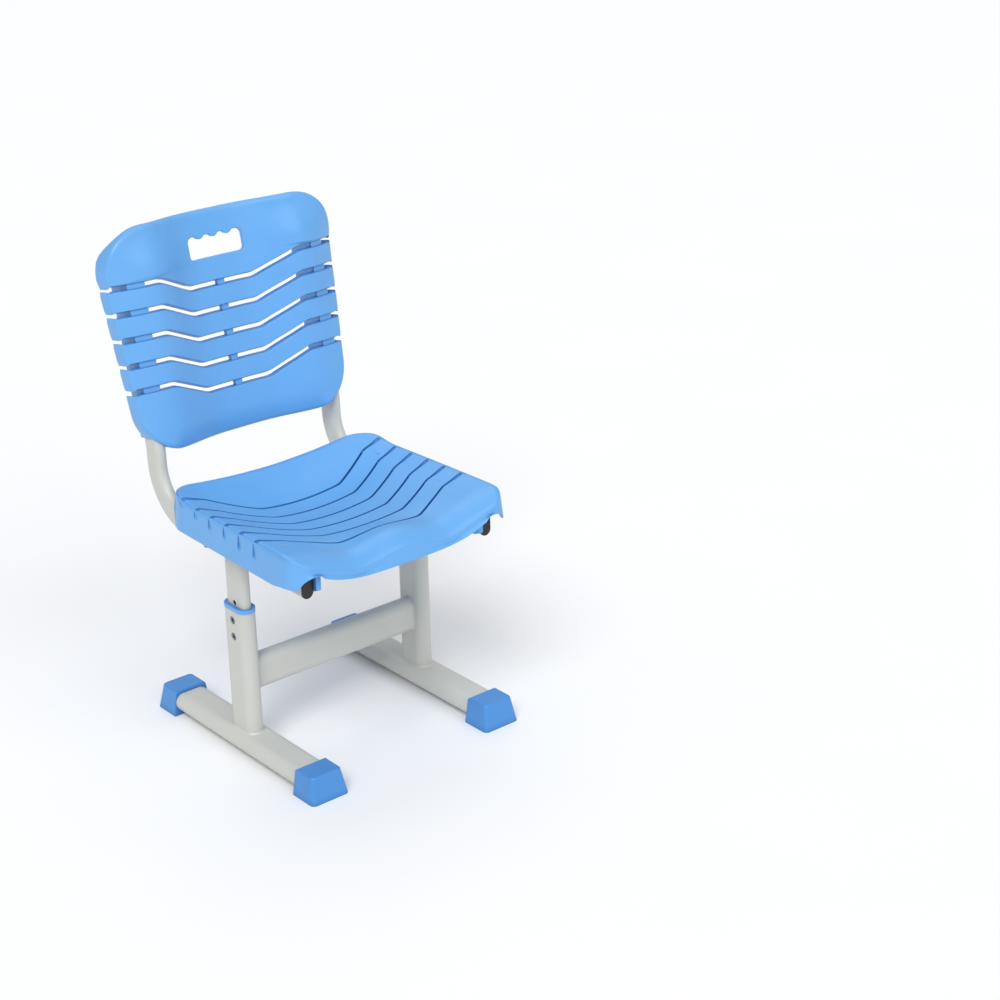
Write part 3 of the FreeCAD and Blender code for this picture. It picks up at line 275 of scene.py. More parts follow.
def smooth(amount):
    """0 to 1 with level ends."""
    amount = min(max(amount, 0.0), 1.0)
    return amount * amount * (3 - 2 * amount)


def bent_line(x, start, stop, rise, ease=6.0):
    """A level line that climbs by rise from start to stop, with both bends eased."""
    slope = rise / (stop - start)

    def corner(at):
        past = abs(x) - at
        if past <= -ease:
            return 0.0
        if past >= ease:
            return past
        return (past + ease) ** 2 / (4 * ease)
    return slope * (corner(start) - corner(stop))


def spaced(start, stop, step):
    """Evenly spaced values from start to stop, about step apart."""
    count = max(1, round(abs(stop - start) / step))
    return [start + (stop - start) * k / count for k in range(count + 1)]


# %% The edge profile
ROLL_STEPS = 7
ROLL_PULL = 0.55  # pulls a curve towards its corner as far as a round arc does
SKIRT_SHARES = (0.1, 0.2, 0.32, 0.46, 0.62, 0.8)
LEAST_SKIRT = 0.3  # millimetres of skirt below a roll, however shallow the edge
CORNER_CUT = 0.3  # where a small eased corner's middle point lies
LIP_FOR_FULL_EASE = 3
UNDER_ROOM = 0.4  # how far the inner side stays under the wall


def edge_profile(radius, slope, depth, wall, lip, flare=0.0):
    """Outward reach and drop from a face's border, over the roll, down the skirt and back inside."""
    rolled = radius - flare
    drop = rolled * (1 + slope)
    depth = max(depth, drop + LEAST_SKIRT)
    points = []
    for k in range(1, ROLL_STEPS + 1):
        t = k / ROLL_STEPS
        a, b, c = 3 * (1 - t) ** 2 * t, 3 * (1 - t) * t * t, t ** 3
        reach = a * ROLL_PULL * rolled + (b + c) * rolled
        fall = a * ROLL_PULL * rolled * slope + b * (drop - ROLL_PULL * drop) + c * drop
        points.append((reach, fall))
    ease = min(1.0, lip / LIP_FOR_FULL_EASE)
    for share in SKIRT_SHARES:
        points.append((rolled + flare * share, drop + (depth - ease - drop) * share))
    inner = depth - ease
    cut = CORNER_CUT * ease
    points += [(radius, inner), (radius - cut, depth - cut), (radius - ease, depth),
               (radius - lip + ease, depth), (radius - lip + cut, depth - cut), (radius - lip, inner)]
    top = min(wall + slope * (radius - lip) + UNDER_ROOM, inner)
    points.append((radius - lip, inner + (top - inner) * 0.5))
    points.append((radius - lip, top))
    return points


# %% Panels from rows and borders
SAME_PLACE = 0.05  # millimetres between points that count as one
SLOPE_STEP = 0.5  # millimetres over which a face's slope is felt
SLOPE_MOST = 0.6  # steepest slope that an edge takes over from its face
MERGE_MM = 0.01  # points nearer than this are joined


def neighbour(places, k, way):
    """The nearest border point one way round that is in another place."""
    here = places[k][0]
    return next(places[(k + way * s) % len(places)][0] for s in range(1, len(places))
                if math.dist(places[(k + way * s) % len(places)][0], here) > SAME_PLACE)


class Shell:
    """Collects points and faces of one moulding, then turns them into a mesh object."""

    def __init__(self):
        self.points = []
        self.faces = []

    def point(self, x, y, z):
        self.points.append((x, y, z))
        return len(self.points) - 1

    def grid(self, rows, turned=False):
        """Faces between rows of point numbers."""
        for low, high in zip(rows, rows[1:]):
            for a, b, c, d in zip(low, low[1:], high[1:], high):
                quad = (d, c, b, a) if turned else (a, b, c, d)
                face = [n for k, n in enumerate(quad) if n != quad[k - 1]]
                if len(set(face)) > 2:
                    self.faces.append(face)

    def panel(self, rows, height, wall, border, base=None, cut=None):
        """One panel from rows of (x, y), its face height, its wall, and border(x, y, side).

        border returns roll radius, depth below the face, lip and flare. cut is how deep a groove still is
        at a given drop over the edge, measured from base, the face without its grooves."""
        face = [[self.point(x, y, height(x, y)) for x, y in row] for row in rows]
        back = [[self.point(x, y, height(x, y) - wall) for x, y in row] for row in rows]
        self.grid(face)
        self.grid(back, turned=True)
        wide, tall = len(rows[0]), len(rows)
        loop = [(0, i, "low") for i in range(wide)]
        loop += [(j, wide - 1, "right") for j in range(tall)]
        loop += [(tall - 1, i, "high") for i in reversed(range(wide))]
        loop += [(j, 0, "left") for j in reversed(range(tall))]
        places = [(rows[j][i], face[j][i], back[j][i], side) for j, i, side in loop]
        self.sweep(places, base or height, wall, border, cut)

    def sweep(self, places, height, wall, border, cut=None):
        """Edge all round: each border point's profile, joined to its neighbours'."""
        columns = []
        for k, ((x, y), top, under, side) in enumerate(places):
            radius, depth, lip, flare = border(x, y, side)
            before, after = neighbour(places, k, -1), neighbour(places, k, 1)
            along = (after[0] - before[0], after[1] - before[1])
            size = math.hypot(*along)
            outward = (along[1] / size, -along[0] / size)
            inward = height(x - SLOPE_STEP * outward[0], y - SLOPE_STEP * outward[1])
            z = height(x, y)
            slope = min(max((inward - z) / SLOPE_STEP, -SLOPE_MOST), SLOPE_MOST)
            column = [top]
            profile = edge_profile(radius, slope, depth, wall, lip, flare)
            outside = ROLL_STEPS + len(SKIRT_SHARES) - 1
            for n, (reach, fall) in enumerate(profile):
                if cut and n < outside:
                    last, following = profile[n - 1] if n else (0.0, 0.0), profile[n + 1]
                    run, sink = following[0] - last[0], following[1] - last[1]
                    dip = cut(x, y, fall) / math.hypot(run, sink)
                    reach, fall = reach - sink * dip, fall + run * dip
                column.append(self.point(x + outward[0] * reach, y + outward[1] * reach, z - fall))
            columns.append(column + [under])
        columns.append(columns[0])
        self.grid(columns)

    def loft(self, sections):
        """Faces between closed sections of (x, y, z), with both ends closed."""
        rings = [[self.point(*p) for p in section] for section in sections]
        for ring in rings:
            ring.append(ring[0])
        self.grid(rings)
        self.faces.append(list(reversed(rings[0][:-1])))
        self.faces.append(rings[-1][:-1])

    def build(self, name, to_world, finish, sharp_degrees=38):
        """The mesh object, in metres, with round faces shaded smooth and true edges kept crisp."""
        mesh = bpy.data.meshes.new(name)
        mesh.from_pydata([to_world(p) for p in self.points], [], self.faces)
        work = bmesh.new()
        work.from_mesh(mesh)
        bmesh.ops.remove_doubles(work, verts=work.verts, dist=MERGE_MM * MM)
        bmesh.ops.dissolve_degenerate(work, edges=work.edges, dist=MERGE_MM / 2 * MM)
        bmesh.ops.recalc_face_normals(work, faces=work.faces)
        limit = math.radians(sharp_degrees)
        for edge in work.edges:
            edge.smooth = edge.calc_face_angle(0.0) < limit
        for face in work.faces:
            face.smooth = True
        open_edges = sum(1 for edge in work.edges if len(edge.link_faces) != 2)
        work.to_mesh(mesh)
        work.free()
        mesh.materials.append(finish)
        thing = bpy.data.objects.new(name, mesh)
        bpy.context.scene.collection.objects.link(thing)
        print(f"{name}: {len(mesh.polygons)} faces, {open_edges} open edges")
        return thing


# %% [markdown]
# ## Seat
# The seat pan is one moulding: a dish that is deepest under the hips, rolls over the front edge
# and stands a little proud between the thighs. Six narrow grooves cross it in a wide chevron and
# run down the side skirts. The rows of the mesh follow the grooves, so each groove keeps a crisp
# even section instead of being a staircase in a plain grid.

# %% Seat sizes, in millimetres from the columns
SEAT = {"front": -213, "rear": 159, "front_half": 208, "rear_half": 199, "front_corner": 38,
        "rear_corner": 52, "roll": 14, "flare": 3.5, "wall": 3.6, "lip": 4.6, "skirt": 348}
DISH = {"y": 40, "low": 356, "rear_lift": 42, "front_lift": 21, "front_run": 215, "front_power": 1.5,
        "past": 1.1}
CREST = {"high": 401, "inset": 4, "rear_more": 10, "from": 70, "over": 80}
CROWN = {"rise": 9, "width": 46, "from": -90, "over": 80}
THIGHS = {"dip": 7, "x": 88, "width": 38, "from": -105, "over": 75}
FRONT_ROLL = {"from": -165, "over": 48, "drop": 12, "middle_more": 16, "half": 200}
GROOVE = {"count": 6, "first": 65, "pitch": 41.5, "rise": 39, "inner": 76, "outer": 155, "half": 2.4,
          "half_more": 2.0, "widens_at": 160, "widens_over": 30, "depth": 5.4, "skirt_depth": 4.8,
          "edge_run": 12, "end": 391, "end_drop": 19, "end_power": 0.6, "fade": 5}


def seat_height(x, y):
    """Face of the seat without its grooves."""
    if y > DISH["y"]:
        middle = DISH["low"] + DISH["rear_lift"] * ((y - DISH["y"]) / (SEAT["rear"] - DISH["y"])) ** 2
    else:
        reach = (DISH["y"] - y) / DISH["front_run"]
        middle = DISH["low"] + DISH["front_lift"] * min(reach, DISH["past"]) ** DISH["front_power"]
    side = min(abs(x) / (SEAT["rear_half"] - CREST["inset"]), DISH["past"])
    crest = CREST["high"] + CREST["rear_more"] * smooth((y - CREST["from"]) / CREST["over"])
    height = middle + (crest - middle) * side ** 2
    crown = smooth((CROWN["from"] - y) / CROWN["over"])
    height += CROWN["rise"] * math.exp(-(x / CROWN["width"]) ** 2) * crown
    dip = smooth((THIGHS["from"] - y) / THIGHS["over"])
    height -= THIGHS["dip"] * math.exp(-((abs(x) - THIGHS["x"]) / THIGHS["width"]) ** 2) * dip
    if y < FRONT_ROLL["from"]:
        drop = FRONT_ROLL["drop"] + FRONT_ROLL["middle_more"] * max(0.0, 1 - (x / FRONT_ROLL["half"]) ** 2)
        height -= drop * ((FRONT_ROLL["from"] - y) / FRONT_ROLL["over"]) ** 2
    return height


print(f"the seat's lowest point is {seat_height(0, DISH['y']):.0f} mm above the floor")


def groove_row(x, level):
    """Where a groove whose middle lies at level runs."""
    return level + bent_line(x, GROOVE["inner"], GROOVE["outer"], GROOVE["rise"])


def groove_half(x):
    """Half width of a groove: it opens out towards the seat's sides."""
    widened = smooth((abs(x) - GROOVE["widens_at"]) / GROOVE["widens_over"])
    return GROOVE["half"] + GROOVE["half_more"] * widened


def nearest_groove(x, y):
    """Number of the nearest groove and the distance from its middle."""
    offs = [abs(y - groove_row(x, GROOVE["first"] - k * GROOVE["pitch"])) for k in range(GROOVE["count"])]
    near = min(range(GROOVE["count"]), key=offs.__getitem__)
    return near, offs[near]


def groove_dip(x, y):
    """Depth of the groove at a point: a steep-sided, round-bottomed channel."""
    off = nearest_groove(x, y)[1] / groove_half(x)
    return GROOVE["depth"] * (1 - off ** 4) ** 0.5 if off < 1 else 0.0


def groove_over_edge(x, y, fall):
    """The groove's depth at a drop below the shoulder: it runs out down the skirt."""
    near = nearest_groove(x, y)[0]
    end = GROOVE["end"] - GROOVE["end_drop"] * (near / (GROOVE["count"] - 1)) ** GROOVE["end_power"]
    length = seat_height(x, y) - end
    runs = GROOVE["depth"] + (GROOVE["skirt_depth"] - GROOVE["depth"]) * smooth(fall / GROOVE["edge_run"])
    fades = 1 - smooth((fall - length + GROOVE["fade"]) / GROOVE["fade"])
    return groove_dip(x, y) / GROOVE["depth"] * runs * fades


def grooved_seat(x, y):
    """Face of the seat with its grooves."""
    return seat_height(x, y) - groove_dip(x, y)


# %% Seat outline and rows
ACROSS = spaced(0.0, 0.72, 0.03) + spaced(0.72, 1.0, 0.0125)[1:]  # finer towards the sides
BOTH_WAYS = [-s for s in reversed(ACROSS[1:])] + ACROSS
ROUND_SHARES = [1 - math.cos(math.radians(a)) for a in range(0, 91, 5)]  # finer towards a round corner
GROOVE_SHARES = (-1, -0.97, -0.86, -0.5, 0, 0.5, 0.86, 0.97, 1)
ROWS_BETWEEN = 7
SETTLE_TURNS, SETTLE_SHARE = 30, 0.6


def cornered(half, at, ends):
    """A half width less its round corners, each given as the end it is at and its radius."""
    for end, radius in ends:
        into = abs(at - end)
        if into < radius:
            half -= radius - math.sqrt(max(0.0, radius ** 2 - (radius - into) ** 2))
    return half


def settled(start, place):
    """A point whose two places depend on each other, found by going part of the way each turn."""
    along = start
    for _ in range(SETTLE_TURNS):
        across, aim = place(along)
        along = along + (aim - along) * SETTLE_SHARE
    return across, along


def seat_half_width(y):
    """Half width of the seat's face at a depth."""
    inset = SEAT["roll"]
    share = (y - SEAT["front"]) / (SEAT["rear"] - SEAT["front"])
    half = SEAT["front_half"] + (SEAT["rear_half"] - SEAT["front_half"]) * share - inset
    return cornered(half, y, ((SEAT["front"] + inset, SEAT["front_corner"] - inset),
                              (SEAT["rear"] - inset, SEAT["rear_corner"] - inset)))


def seat_rows():
    """Rows of the seat's face, front edge to rear edge, following the grooves."""
    front, rear = SEAT["front"] + SEAT["roll"], SEAT["rear"] - SEAT["roll"]
    last = GROOVE["first"] - (GROOVE["count"] - 1) * GROOVE["pitch"]
    levels = [("front", 0, s) for s in ROUND_SHARES[:-1]]
    for k in reversed(range(GROOVE["count"])):
        levels += [("groove", k, s) for s in GROOVE_SHARES]
        if k:
            levels += [("between", k, s / ROWS_BETWEEN) for s in range(1, ROWS_BETWEEN)]
    levels += [("rear", 0, s) for s in reversed(ROUND_SHARES[:-1])]

    def place_in_row(kind, k, share_along, share_across):
        def place(y):
            x = share_across * seat_half_width(min(max(y, front), rear))
            half = groove_half(x)
            middle = groove_row(x, GROOVE["first"] - k * GROOVE["pitch"])
            if kind == "groove":
                return x, middle + share_along * half
            if kind == "between":
                return x, middle + half + (GROOVE["pitch"] - 2 * half) * share_along
            if kind == "front":
                return x, front + (groove_row(x, last) - half - front) * share_along
            return x, rear + (middle + half - rear) * share_along
        return place

    starts = {"front": front, "rear": rear}
    return [[settled(starts.get(kind, 0.0), place_in_row(kind, k, share, across)) for across in BOTH_WAYS]
            for kind, k, share in levels]


print(f"seat: {SEAT['rear'] - SEAT['front']} mm deep, {2 * SEAT['front_half']} mm wide in front")

# %% Seat edge: skirts, front apron and the two arches over the tube ends
APRON = {"y": -150, "low": 342, "rise": 19, "half": 151, "power": 3.6, "corner_rise": 4, "corner_run": 30}
ARCH = {"x": TUBE_X - 2, "radius": 17, "top": 370}
TUBE_NOTCH = {"half": 12.5, "top": 380, "y": 125}


def skirt_foot(x, y):
    """Height of the skirt's rim above the floor."""
    x = abs(x)
    foot = SEAT["skirt"]
    if y < APRON["y"]:
        if x < ARCH["x"]:
            foot = APRON["low"] + APRON["rise"] * min(1.0, x / APRON["half"]) ** APRON["power"]
        else:
            foot += APRON["corner_rise"] * smooth((APRON["y"] - y) / APRON["corner_run"])
        away = abs(x - ARCH["x"])
        if away < ARCH["radius"]:
            arch = ARCH["top"] - ARCH["radius"] + math.sqrt(ARCH["radius"] ** 2 - away ** 2)
            foot = max(foot, arch)
    elif y > TUBE_NOTCH["y"] and abs(x - TUBE_X) < TUBE_NOTCH["half"]:
        foot = TUBE_NOTCH["top"]
    return foot


def seat_border(x, y, side):
    """Roll, depth, lip and flare of the seat's edge, the same on every side."""
    return SEAT["roll"], seat_height(x, y) - skirt_foot(x, y), SEAT["lip"], SEAT["flare"]


seat = Shell()
seat.panel(seat_rows(), grooved_seat, SEAT["wall"], seat_border, base=seat_height, cut=groove_over_edge)

# %% [markdown]
# ### Ribs and bosses under the seat
# Two ribs run front to back inside the tubes and stop the pan from sliding off them, and four
# bosses stand on the tubes and take the screws. They are hidden except for the ribs' front ends,
# which show beside the tube plugs, so those ends get a proper rounded section.

# %% Ribs and bosses
BRACES = (-110, 118)
RIB = {"near": 19.5, "far": 11.0, "front": -196, "brace_room": 12, "low": 332, "nose_rise": 6,
       "nose_from": -180, "nose_over": 16, "ease": 2.0, "step": 12}
BOSS = {"rows": (-85, 80), "radius": 7.5, "sides": 32}
SIDE_TUBE_TALL = 40
INTO_WALL = 2.0  # ribs and bosses run this far into the pan's wall


def rounded_bar(x_low, x_high, z_low, z_high, y, ease):
    """Section across y of a bar with eased lower corners."""
    cut = ease * CORNER_CUT
    return [(x_low, y, z_high), (x_low, y, z_low + ease), (x_low + cut, y, z_low + cut),
            (x_low + ease, y, z_low), (x_high - ease, y, z_low), (x_high - cut, y, z_low + cut),
            (x_high, y, z_low + ease), (x_high, y, z_high)]


def rib_section(side, y):
    """Section of a rib, which ends a little higher at its nose."""
    x_near, x_far = TUBE_X - RIB["near"], TUBE_X - RIB["far"]
    top = min(seat_height(x_near, y), seat_height(x_far, y)) - INTO_WALL
    foot = RIB["low"] + RIB["nose_rise"] * smooth((RIB["nose_from"] - y) / RIB["nose_over"])
    low, high = sorted((side * x_near, side * x_far))
    return rounded_bar(low, high, foot, top, y, RIB["ease"])


tube_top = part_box("side_tube_left")[0][2] / MM + SIDE_TUBE_TALL
boss_angles = [math.tau * k / BOSS["sides"] for k in range(BOSS["sides"])]
for side in (-1, 1):
    for y_start, y_end in ((RIB["front"], BRACES[0] - RIB["brace_room"]),
                           (BRACES[0] + RIB["brace_room"], BRACES[1] - RIB["brace_room"])):
        seat.loft([rib_section(side, y) for y in spaced(y_start, y_end, RIB["step"])])
    for y in BOSS["rows"]:
        top = seat_height(side * TUBE_X, y) - INTO_WALL
        seat.loft([[(side * TUBE_X + BOSS["radius"] * math.cos(a), y + BOSS["radius"] * math.sin(a), z)
                    for a in boss_angles] for z in (tube_top, top)])


def from_columns(p):
    """Millimetres measured from the columns to the frame's metres."""
    return (p[0] * MM, (p[1] + COLUMN_Y) * MM, p[2] * MM)


seat_piece = seat.build("seat_moulding", from_columns, SKY_BLUE)
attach(seat_piece, "seat_carrier")
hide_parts("seat_pan")

# %% [markdown]
# ## Backrest
# The backrest is one moulding too: a top panel with the hand grip, four chevron slats and a lower
# panel, joined at the back by a sleeve round each tube and a middle rib. It is modelled face up
# in its own frame (x across, s up the face, n towards the sitter) and then leant back.

# %% Backrest sizes
BACK = {"low": 441, "setback": 205, "lean": 11.25, "height": 361, "low_half": 193, "top_half": 218.5,
        "low_corner": 68, "top_corner": 79, "roll": 7, "wall": 3.6, "lip": 3.2, "foot_room": 2}
CRESTS = {"x": 140, "low": 16, "gain": 0.0875, "least": 25, "most": 42, "top_fall": 11, "top_from": 290,
          "top_over": 60}
SIDES = {"low": 12, "top_rise": 15, "from": 250, "over": 110, "run": 68, "past": 1.2, "power": 1.7}
CURL = {"depth": 10, "over": 40, "fades_at": 125, "fades_over": 30}
RIM = {"behind": -14, "least": 12, "top": 15, "top_from": 312, "top_over": 36}
SLOT = {"count": 5, "first": 107, "pitch": 41.2, "drop": 29, "inner": 59, "outer": 130, "width": 5.6,
        "roll": 3.9, "flare": 2.2, "flange": 9.5, "lip": 2.6}


def back_face(x, s):
    """Face of the backrest: a shallow W across, sides that turn away, a lower edge that curls back."""
    wrap = min(max(CRESTS["low"] + CRESTS["gain"] * s, CRESTS["least"]), CRESTS["most"])
    wrap -= CRESTS["top_fall"] * smooth((s - CRESTS["top_from"]) / CRESTS["top_over"])
    edge = SIDES["low"] + SIDES["top_rise"] * smooth((s - SIDES["from"]) / SIDES["over"])
    side = abs(x)
    if side <= CRESTS["x"]:
        face = wrap * math.sin(math.pi * side / (2 * CRESTS["x"])) ** 4
    else:
        turned = min((side - CRESTS["x"]) / SIDES["run"], SIDES["past"]) ** SIDES["power"]
        face = wrap + (edge - wrap) * turned
    curl = CURL["depth"] * max(0.0, (CURL["over"] - s) / CURL["over"]) ** 2
    return face - curl * (1 - smooth((side - CURL["fades_at"]) / CURL["fades_over"]))


def back_half_width(s):
    """Half width of the backrest's face at a height up it."""
    inset = BACK["roll"]
    half = BACK["low_half"] + (BACK["top_half"] - BACK["low_half"]) * s / BACK["height"] - inset
    return cornered(half, s, ((inset + BACK["foot_room"], BACK["low_corner"] - inset),
                              (BACK["height"] - inset, BACK["top_corner"] - inset)))


def slot_line(x, k, edge):
    """Lower (edge -1) or upper (edge +1) side of slot k, counted from the lowest."""
    end = SLOT["first"] + k * SLOT["pitch"]
    level = end - SLOT["drop"] + bent_line(x, SLOT["inner"], SLOT["outer"], SLOT["drop"])
    return level + edge * (SLOT["width"] / 2 + SLOT["roll"])


def straight_low(x):
    """The backrest's lower edge, level all the way."""
    return BACK["roll"] + BACK["foot_room"]


def straight_high(x):
    """The backrest's upper edge, level all the way."""
    return BACK["height"] - BACK["roll"]


def back_rows(lower, upper, shares):
    """Rows between two lines across the backrest."""
    def place_in_row(share_up, share_across):
        def place(s):
            inside = min(max(s, BACK["roll"]), BACK["height"] - BACK["roll"])
            x = share_across * back_half_width(inside)
            return x, lower(x) + (upper(x) - lower(x)) * share_up
        return place

    return [[settled(lower(0.0) + (upper(0.0) - lower(0.0)) * share_up, place_in_row(share_up, across))
             for across in BOTH_WAYS] for share_up in shares]


print(f"backrest: {BACK['height']} mm tall, {SLOT['count']} slots")


# %% Backrest edges: thin at the slots, a deep rim outside
def back_border(slot_sides):
    """Roll, depth, lip and flare of a panel's edge, with flanges on the sides that face a slot."""
    def border(x, s, side):
        if side in slot_sides:
            return SLOT["roll"], SLOT["flange"], SLOT["lip"], SLOT["flare"]
        deep = max(back_face(x, s) - RIM["behind"], RIM["least"])
        depth = deep + (RIM["top"] - deep) * smooth((s - RIM["top_from"]) / RIM["top_over"])
        return BACK["roll"], depth, BACK["lip"], 0.0
    return border


SLAT_SHARES = spaced(0, 1, 0.125)
backrest = Shell()
backrest.panel(back_rows(straight_low, lambda x: slot_line(x, 0, -1), ROUND_SHARES),
               back_face, BACK["wall"], back_border({"high"}))
for k in range(SLOT["count"] - 1):
    slat = back_rows(lambda x: slot_line(x, k, 1), lambda x: slot_line(x, k + 1, -1), SLAT_SHARES)
    backrest.panel(slat, back_face, BACK["wall"], back_border({"low", "high"}))
print("slats:", SLOT["count"] - 1)

# %% [markdown]
# ### Top panel with the hand grip
# The panel has a hole in it, so its points run in rings from the grip's edge out to the panel's
# edge. Every ring lies on the same curved face, and the grip's three finger lobes fade out over
# the first few rings.

# %% Top panel
GRIP = {"half": 50.5, "low": 285, "high": 321, "low_corner": 7, "high_corner": 9, "lobes": (-26, 0, 26),
        "lobe_radius": 9, "lobe_rise": 4, "roll": 2.0, "depth": 9.0, "lip": 2.6}
EDGE_STEP, LOBE_STEP = 4, 1.3  # millimetres between points
CORNER_ANGLES = [math.radians(d) for d in range(15, 91, 15)]


def grip_edge():
    """The grip's outline as (x, s), clockwise from the middle of its lower edge."""
    half, low, high = GRIP["half"], GRIP["low"], GRIP["high"]
    r_low, r_high = GRIP["low_corner"], GRIP["high_corner"]
    left = [(x, low) for x in spaced(0, -(half - r_low), EDGE_STEP)]
    left += [(-(half - r_low) - r_low * math.sin(a), low + r_low - r_low * math.cos(a))
             for a in CORNER_ANGLES]
    left += [(-half, s) for s in spaced(low + r_low, high - r_high, EDGE_STEP)[1:]]
    left += [(-(half - r_high) - r_high * math.cos(a), high - r_high + r_high * math.sin(a))
             for a in CORNER_ANGLES]
    for x in spaced(-(half - r_high), 0, LOBE_STEP)[1:]:
        s = high
        for lobe in GRIP["lobes"]:
            off = abs(x - lobe)
            if off < GRIP["lobe_radius"]:
                s = min(s, high + GRIP["lobe_rise"] - math.sqrt(GRIP["lobe_radius"] ** 2 - off ** 2))
        left.append((x, s))
    return left + [(-x, s) for x, s in reversed(left[1:-1])]


def outward_offset(loop, distance):
    """A closed loop with each point moved away from the loop's middle by a distance."""
    moved = []
    count = len(loop)
    for k, (x, s) in enumerate(loop):
        before, after = loop[k - 1], loop[(k + 1) % count]
        along = (after[0] - before[0], after[1] - before[1])
        size = math.hypot(*along)
        moved.append((x - along[1] / size * distance, s + along[0] / size * distance))
    return moved


def panel_edge():
    """Half of the top panel's border, from the middle of its lower edge round to the middle of its top.

    The numbers of its two corner points come with it."""
    slot = SLOT["count"] - 1
    reach = back_half_width(slot_line(0, slot, 1) + SLOT["drop"])
    low = [(-share * reach, slot_line(-share * reach, slot, 1)) for share in spaced(0, 1, 0.02)]
    s_start, s_end = low[-1][1], straight_high(0)
    radius = BACK["top_corner"] - BACK["roll"]
    heights = spaced(s_start, s_end - radius, EDGE_STEP)[1:]
    heights += [s_end - radius + radius * math.sin(math.radians(d)) for d in range(5, 91, 5)]
    side = [(-back_half_width(s), s) for s in heights]
    top = [(x, s_end) for x in spaced(side[-1][0], 0, EDGE_STEP)[1:]]
    return low + side + top, (len(low) - 1, len(low) + len(side) - 1)


def resample(points, count):
    """count + 1 points evenly along a polyline, ends kept."""
    reach = [0.0]
    for a, b in zip(points, points[1:]):
        reach.append(reach[-1] + math.dist(a, b))
    out = []
    k = 0
    for n in range(count + 1):
        want = reach[-1] * n / count
        while k < len(points) - 2 and reach[k + 1] < want:
            k += 1
        span = reach[k + 1] - reach[k]
        t = 0.0 if span == 0 else (want - reach[k]) / span
        out.append((points[k][0] + (points[k + 1][0] - points[k][0]) * t,
                    points[k][1] + (points[k + 1][1] - points[k][1]) * t))
    return out


NEAR_LOW, NEAR_HIGH, NEAR_SIDE = 1, 7, 8  # what still counts as the grip's lower and upper edge
RING_SHARES = [0, 0.02, 0.05] + spaced(0.1, 1.0, 0.05)


def top_panel(shell):
    """The panel above the slats, in rings from the grip's edge out to its own."""
    grip_all = outward_offset(grip_edge(), GRIP["roll"])
    half_count = len(grip_all) // 2
    grip_left = grip_all[:half_count + 1]
    outer_left, (corner_low, corner_high) = panel_edge()
    # The grip's lower edge, side and upper edge face the panel's lower edge, side and upper edge.
    lower_count = sum(1 for x, s in grip_left if s < GRIP["low"] + NEAR_LOW)
    upper_count = sum(1 for x, s in grip_left
                      if s > GRIP["high"] - NEAR_HIGH and x > NEAR_SIDE - GRIP["half"]) - 1
    side_count = half_count - lower_count - upper_count
    outer = resample(outer_left[:corner_low + 1], lower_count)
    outer += resample(outer_left[corner_low:corner_high + 1], side_count)[1:]
    outer += resample(outer_left[corner_high:], upper_count)[1:]
    rings_left = [[(a[0] + (b[0] - a[0]) * share, a[1] + (b[1] - a[1]) * share)
                   for a, b in zip(grip_left, outer)] for share in RING_SHARES]
    rings = [ring + [(-x, s) for x, s in reversed(ring[1:-1])] for ring in rings_left]
    face = [[shell.point(x, s, back_face(x, s)) for x, s in ring] for ring in rings]
    back = [[shell.point(x, s, back_face(x, s) - BACK["wall"]) for x, s in ring] for ring in rings]
    for ring in face + back:
        ring.append(ring[0])
    shell.grid(face)
    shell.grid(back, turned=True)

    def grip_border(x, s, side):
        return GRIP["roll"], GRIP["depth"], GRIP["lip"], 0.0

    inner_places = [(p, face[0][k], back[0][k], "grip") for k, p in enumerate(rings[0])]
    shell.sweep(inner_places, back_face, BACK["wall"], grip_border)
    edge = rings[-1]
    kinds = ["low" if min(k, len(edge) - k) <= lower_count else "rim" for k in range(len(edge))]
    outer_places = []
    for k, p in enumerate(edge):
        outer_places.append((p, face[-1][k], back[-1][k], kinds[k]))
        following = kinds[(k + 1) % len(kinds)]
        if kinds[k] == "low" and following == "rim":
            outer_places.append((p, face[-1][k], back[-1][k], "rim"))
        if kinds[k - 1] == "rim" and kinds[k] == "low":
            outer_places.insert(-1, (p, face[-1][k], back[-1][k], "rim"))
    outer_places = list(reversed(outer_places))
    shell.sweep(outer_places, back_face, BACK["wall"], back_border({"low"}))


top_panel(backrest)
print(f"hand grip: {2 * GRIP['half']:.0f} x {GRIP['high'] - GRIP['low']} mm")

# %% [markdown]
# ### Sleeves and middle rib
# Each tube slides up into a sleeve behind the slats. The sleeve's front follows the slats' backs,
# and its lower end is open round the tube, with a short recess before the tube's end stops it.

# %% Sleeves and rib
SLEEVE = {"low": 29, "high": 332, "half": 13.2, "back": -28.2, "ease": 3.0, "sink": 3.3, "recess": 14,
          "foot_inset": 2.3, "foot_run": 30, "end_run": 2, "end_cuts": ((0.6, 0.6), (2, 0)),
          "step": 6}
MOUTH = {"half": 10.3, "reach": 20.3, "n": -5, "first_degrees": 62}
MIDDLE_RIB = {"half": 6.5, "back": -12.6, "ease": 1.5, "sink": 3.0, "low": 40, "below_top": 8}


def sleeve_section(x_mid, half, s, n_back, ease, sink):
    """Closed outline of a bar behind the slats at height s, drawn in a little at its foot."""
    if x_mid:
        half -= SLEEVE["foot_inset"] * (1 - smooth((s - SLEEVE["low"]) / SLEEVE["foot_run"]))
    front = [(x_mid + half - 2 * half * t, s) for t in (0, 0.25, 0.5, 0.75, 1)]
    points = [(x, s, back_face(x, s) - sink) for x, _ in front]
    for turn in range(0, 91, 30):
        a = math.radians(turn)
        points.append((x_mid - half + ease - ease * math.cos(a), s, n_back + ease - ease * math.sin(a)))
    for turn in range(90, -1, -30):
        a = math.radians(turn)
        points.append((x_mid + half - ease + ease * math.cos(a), s, n_back + ease - ease * math.sin(a)))
    return points


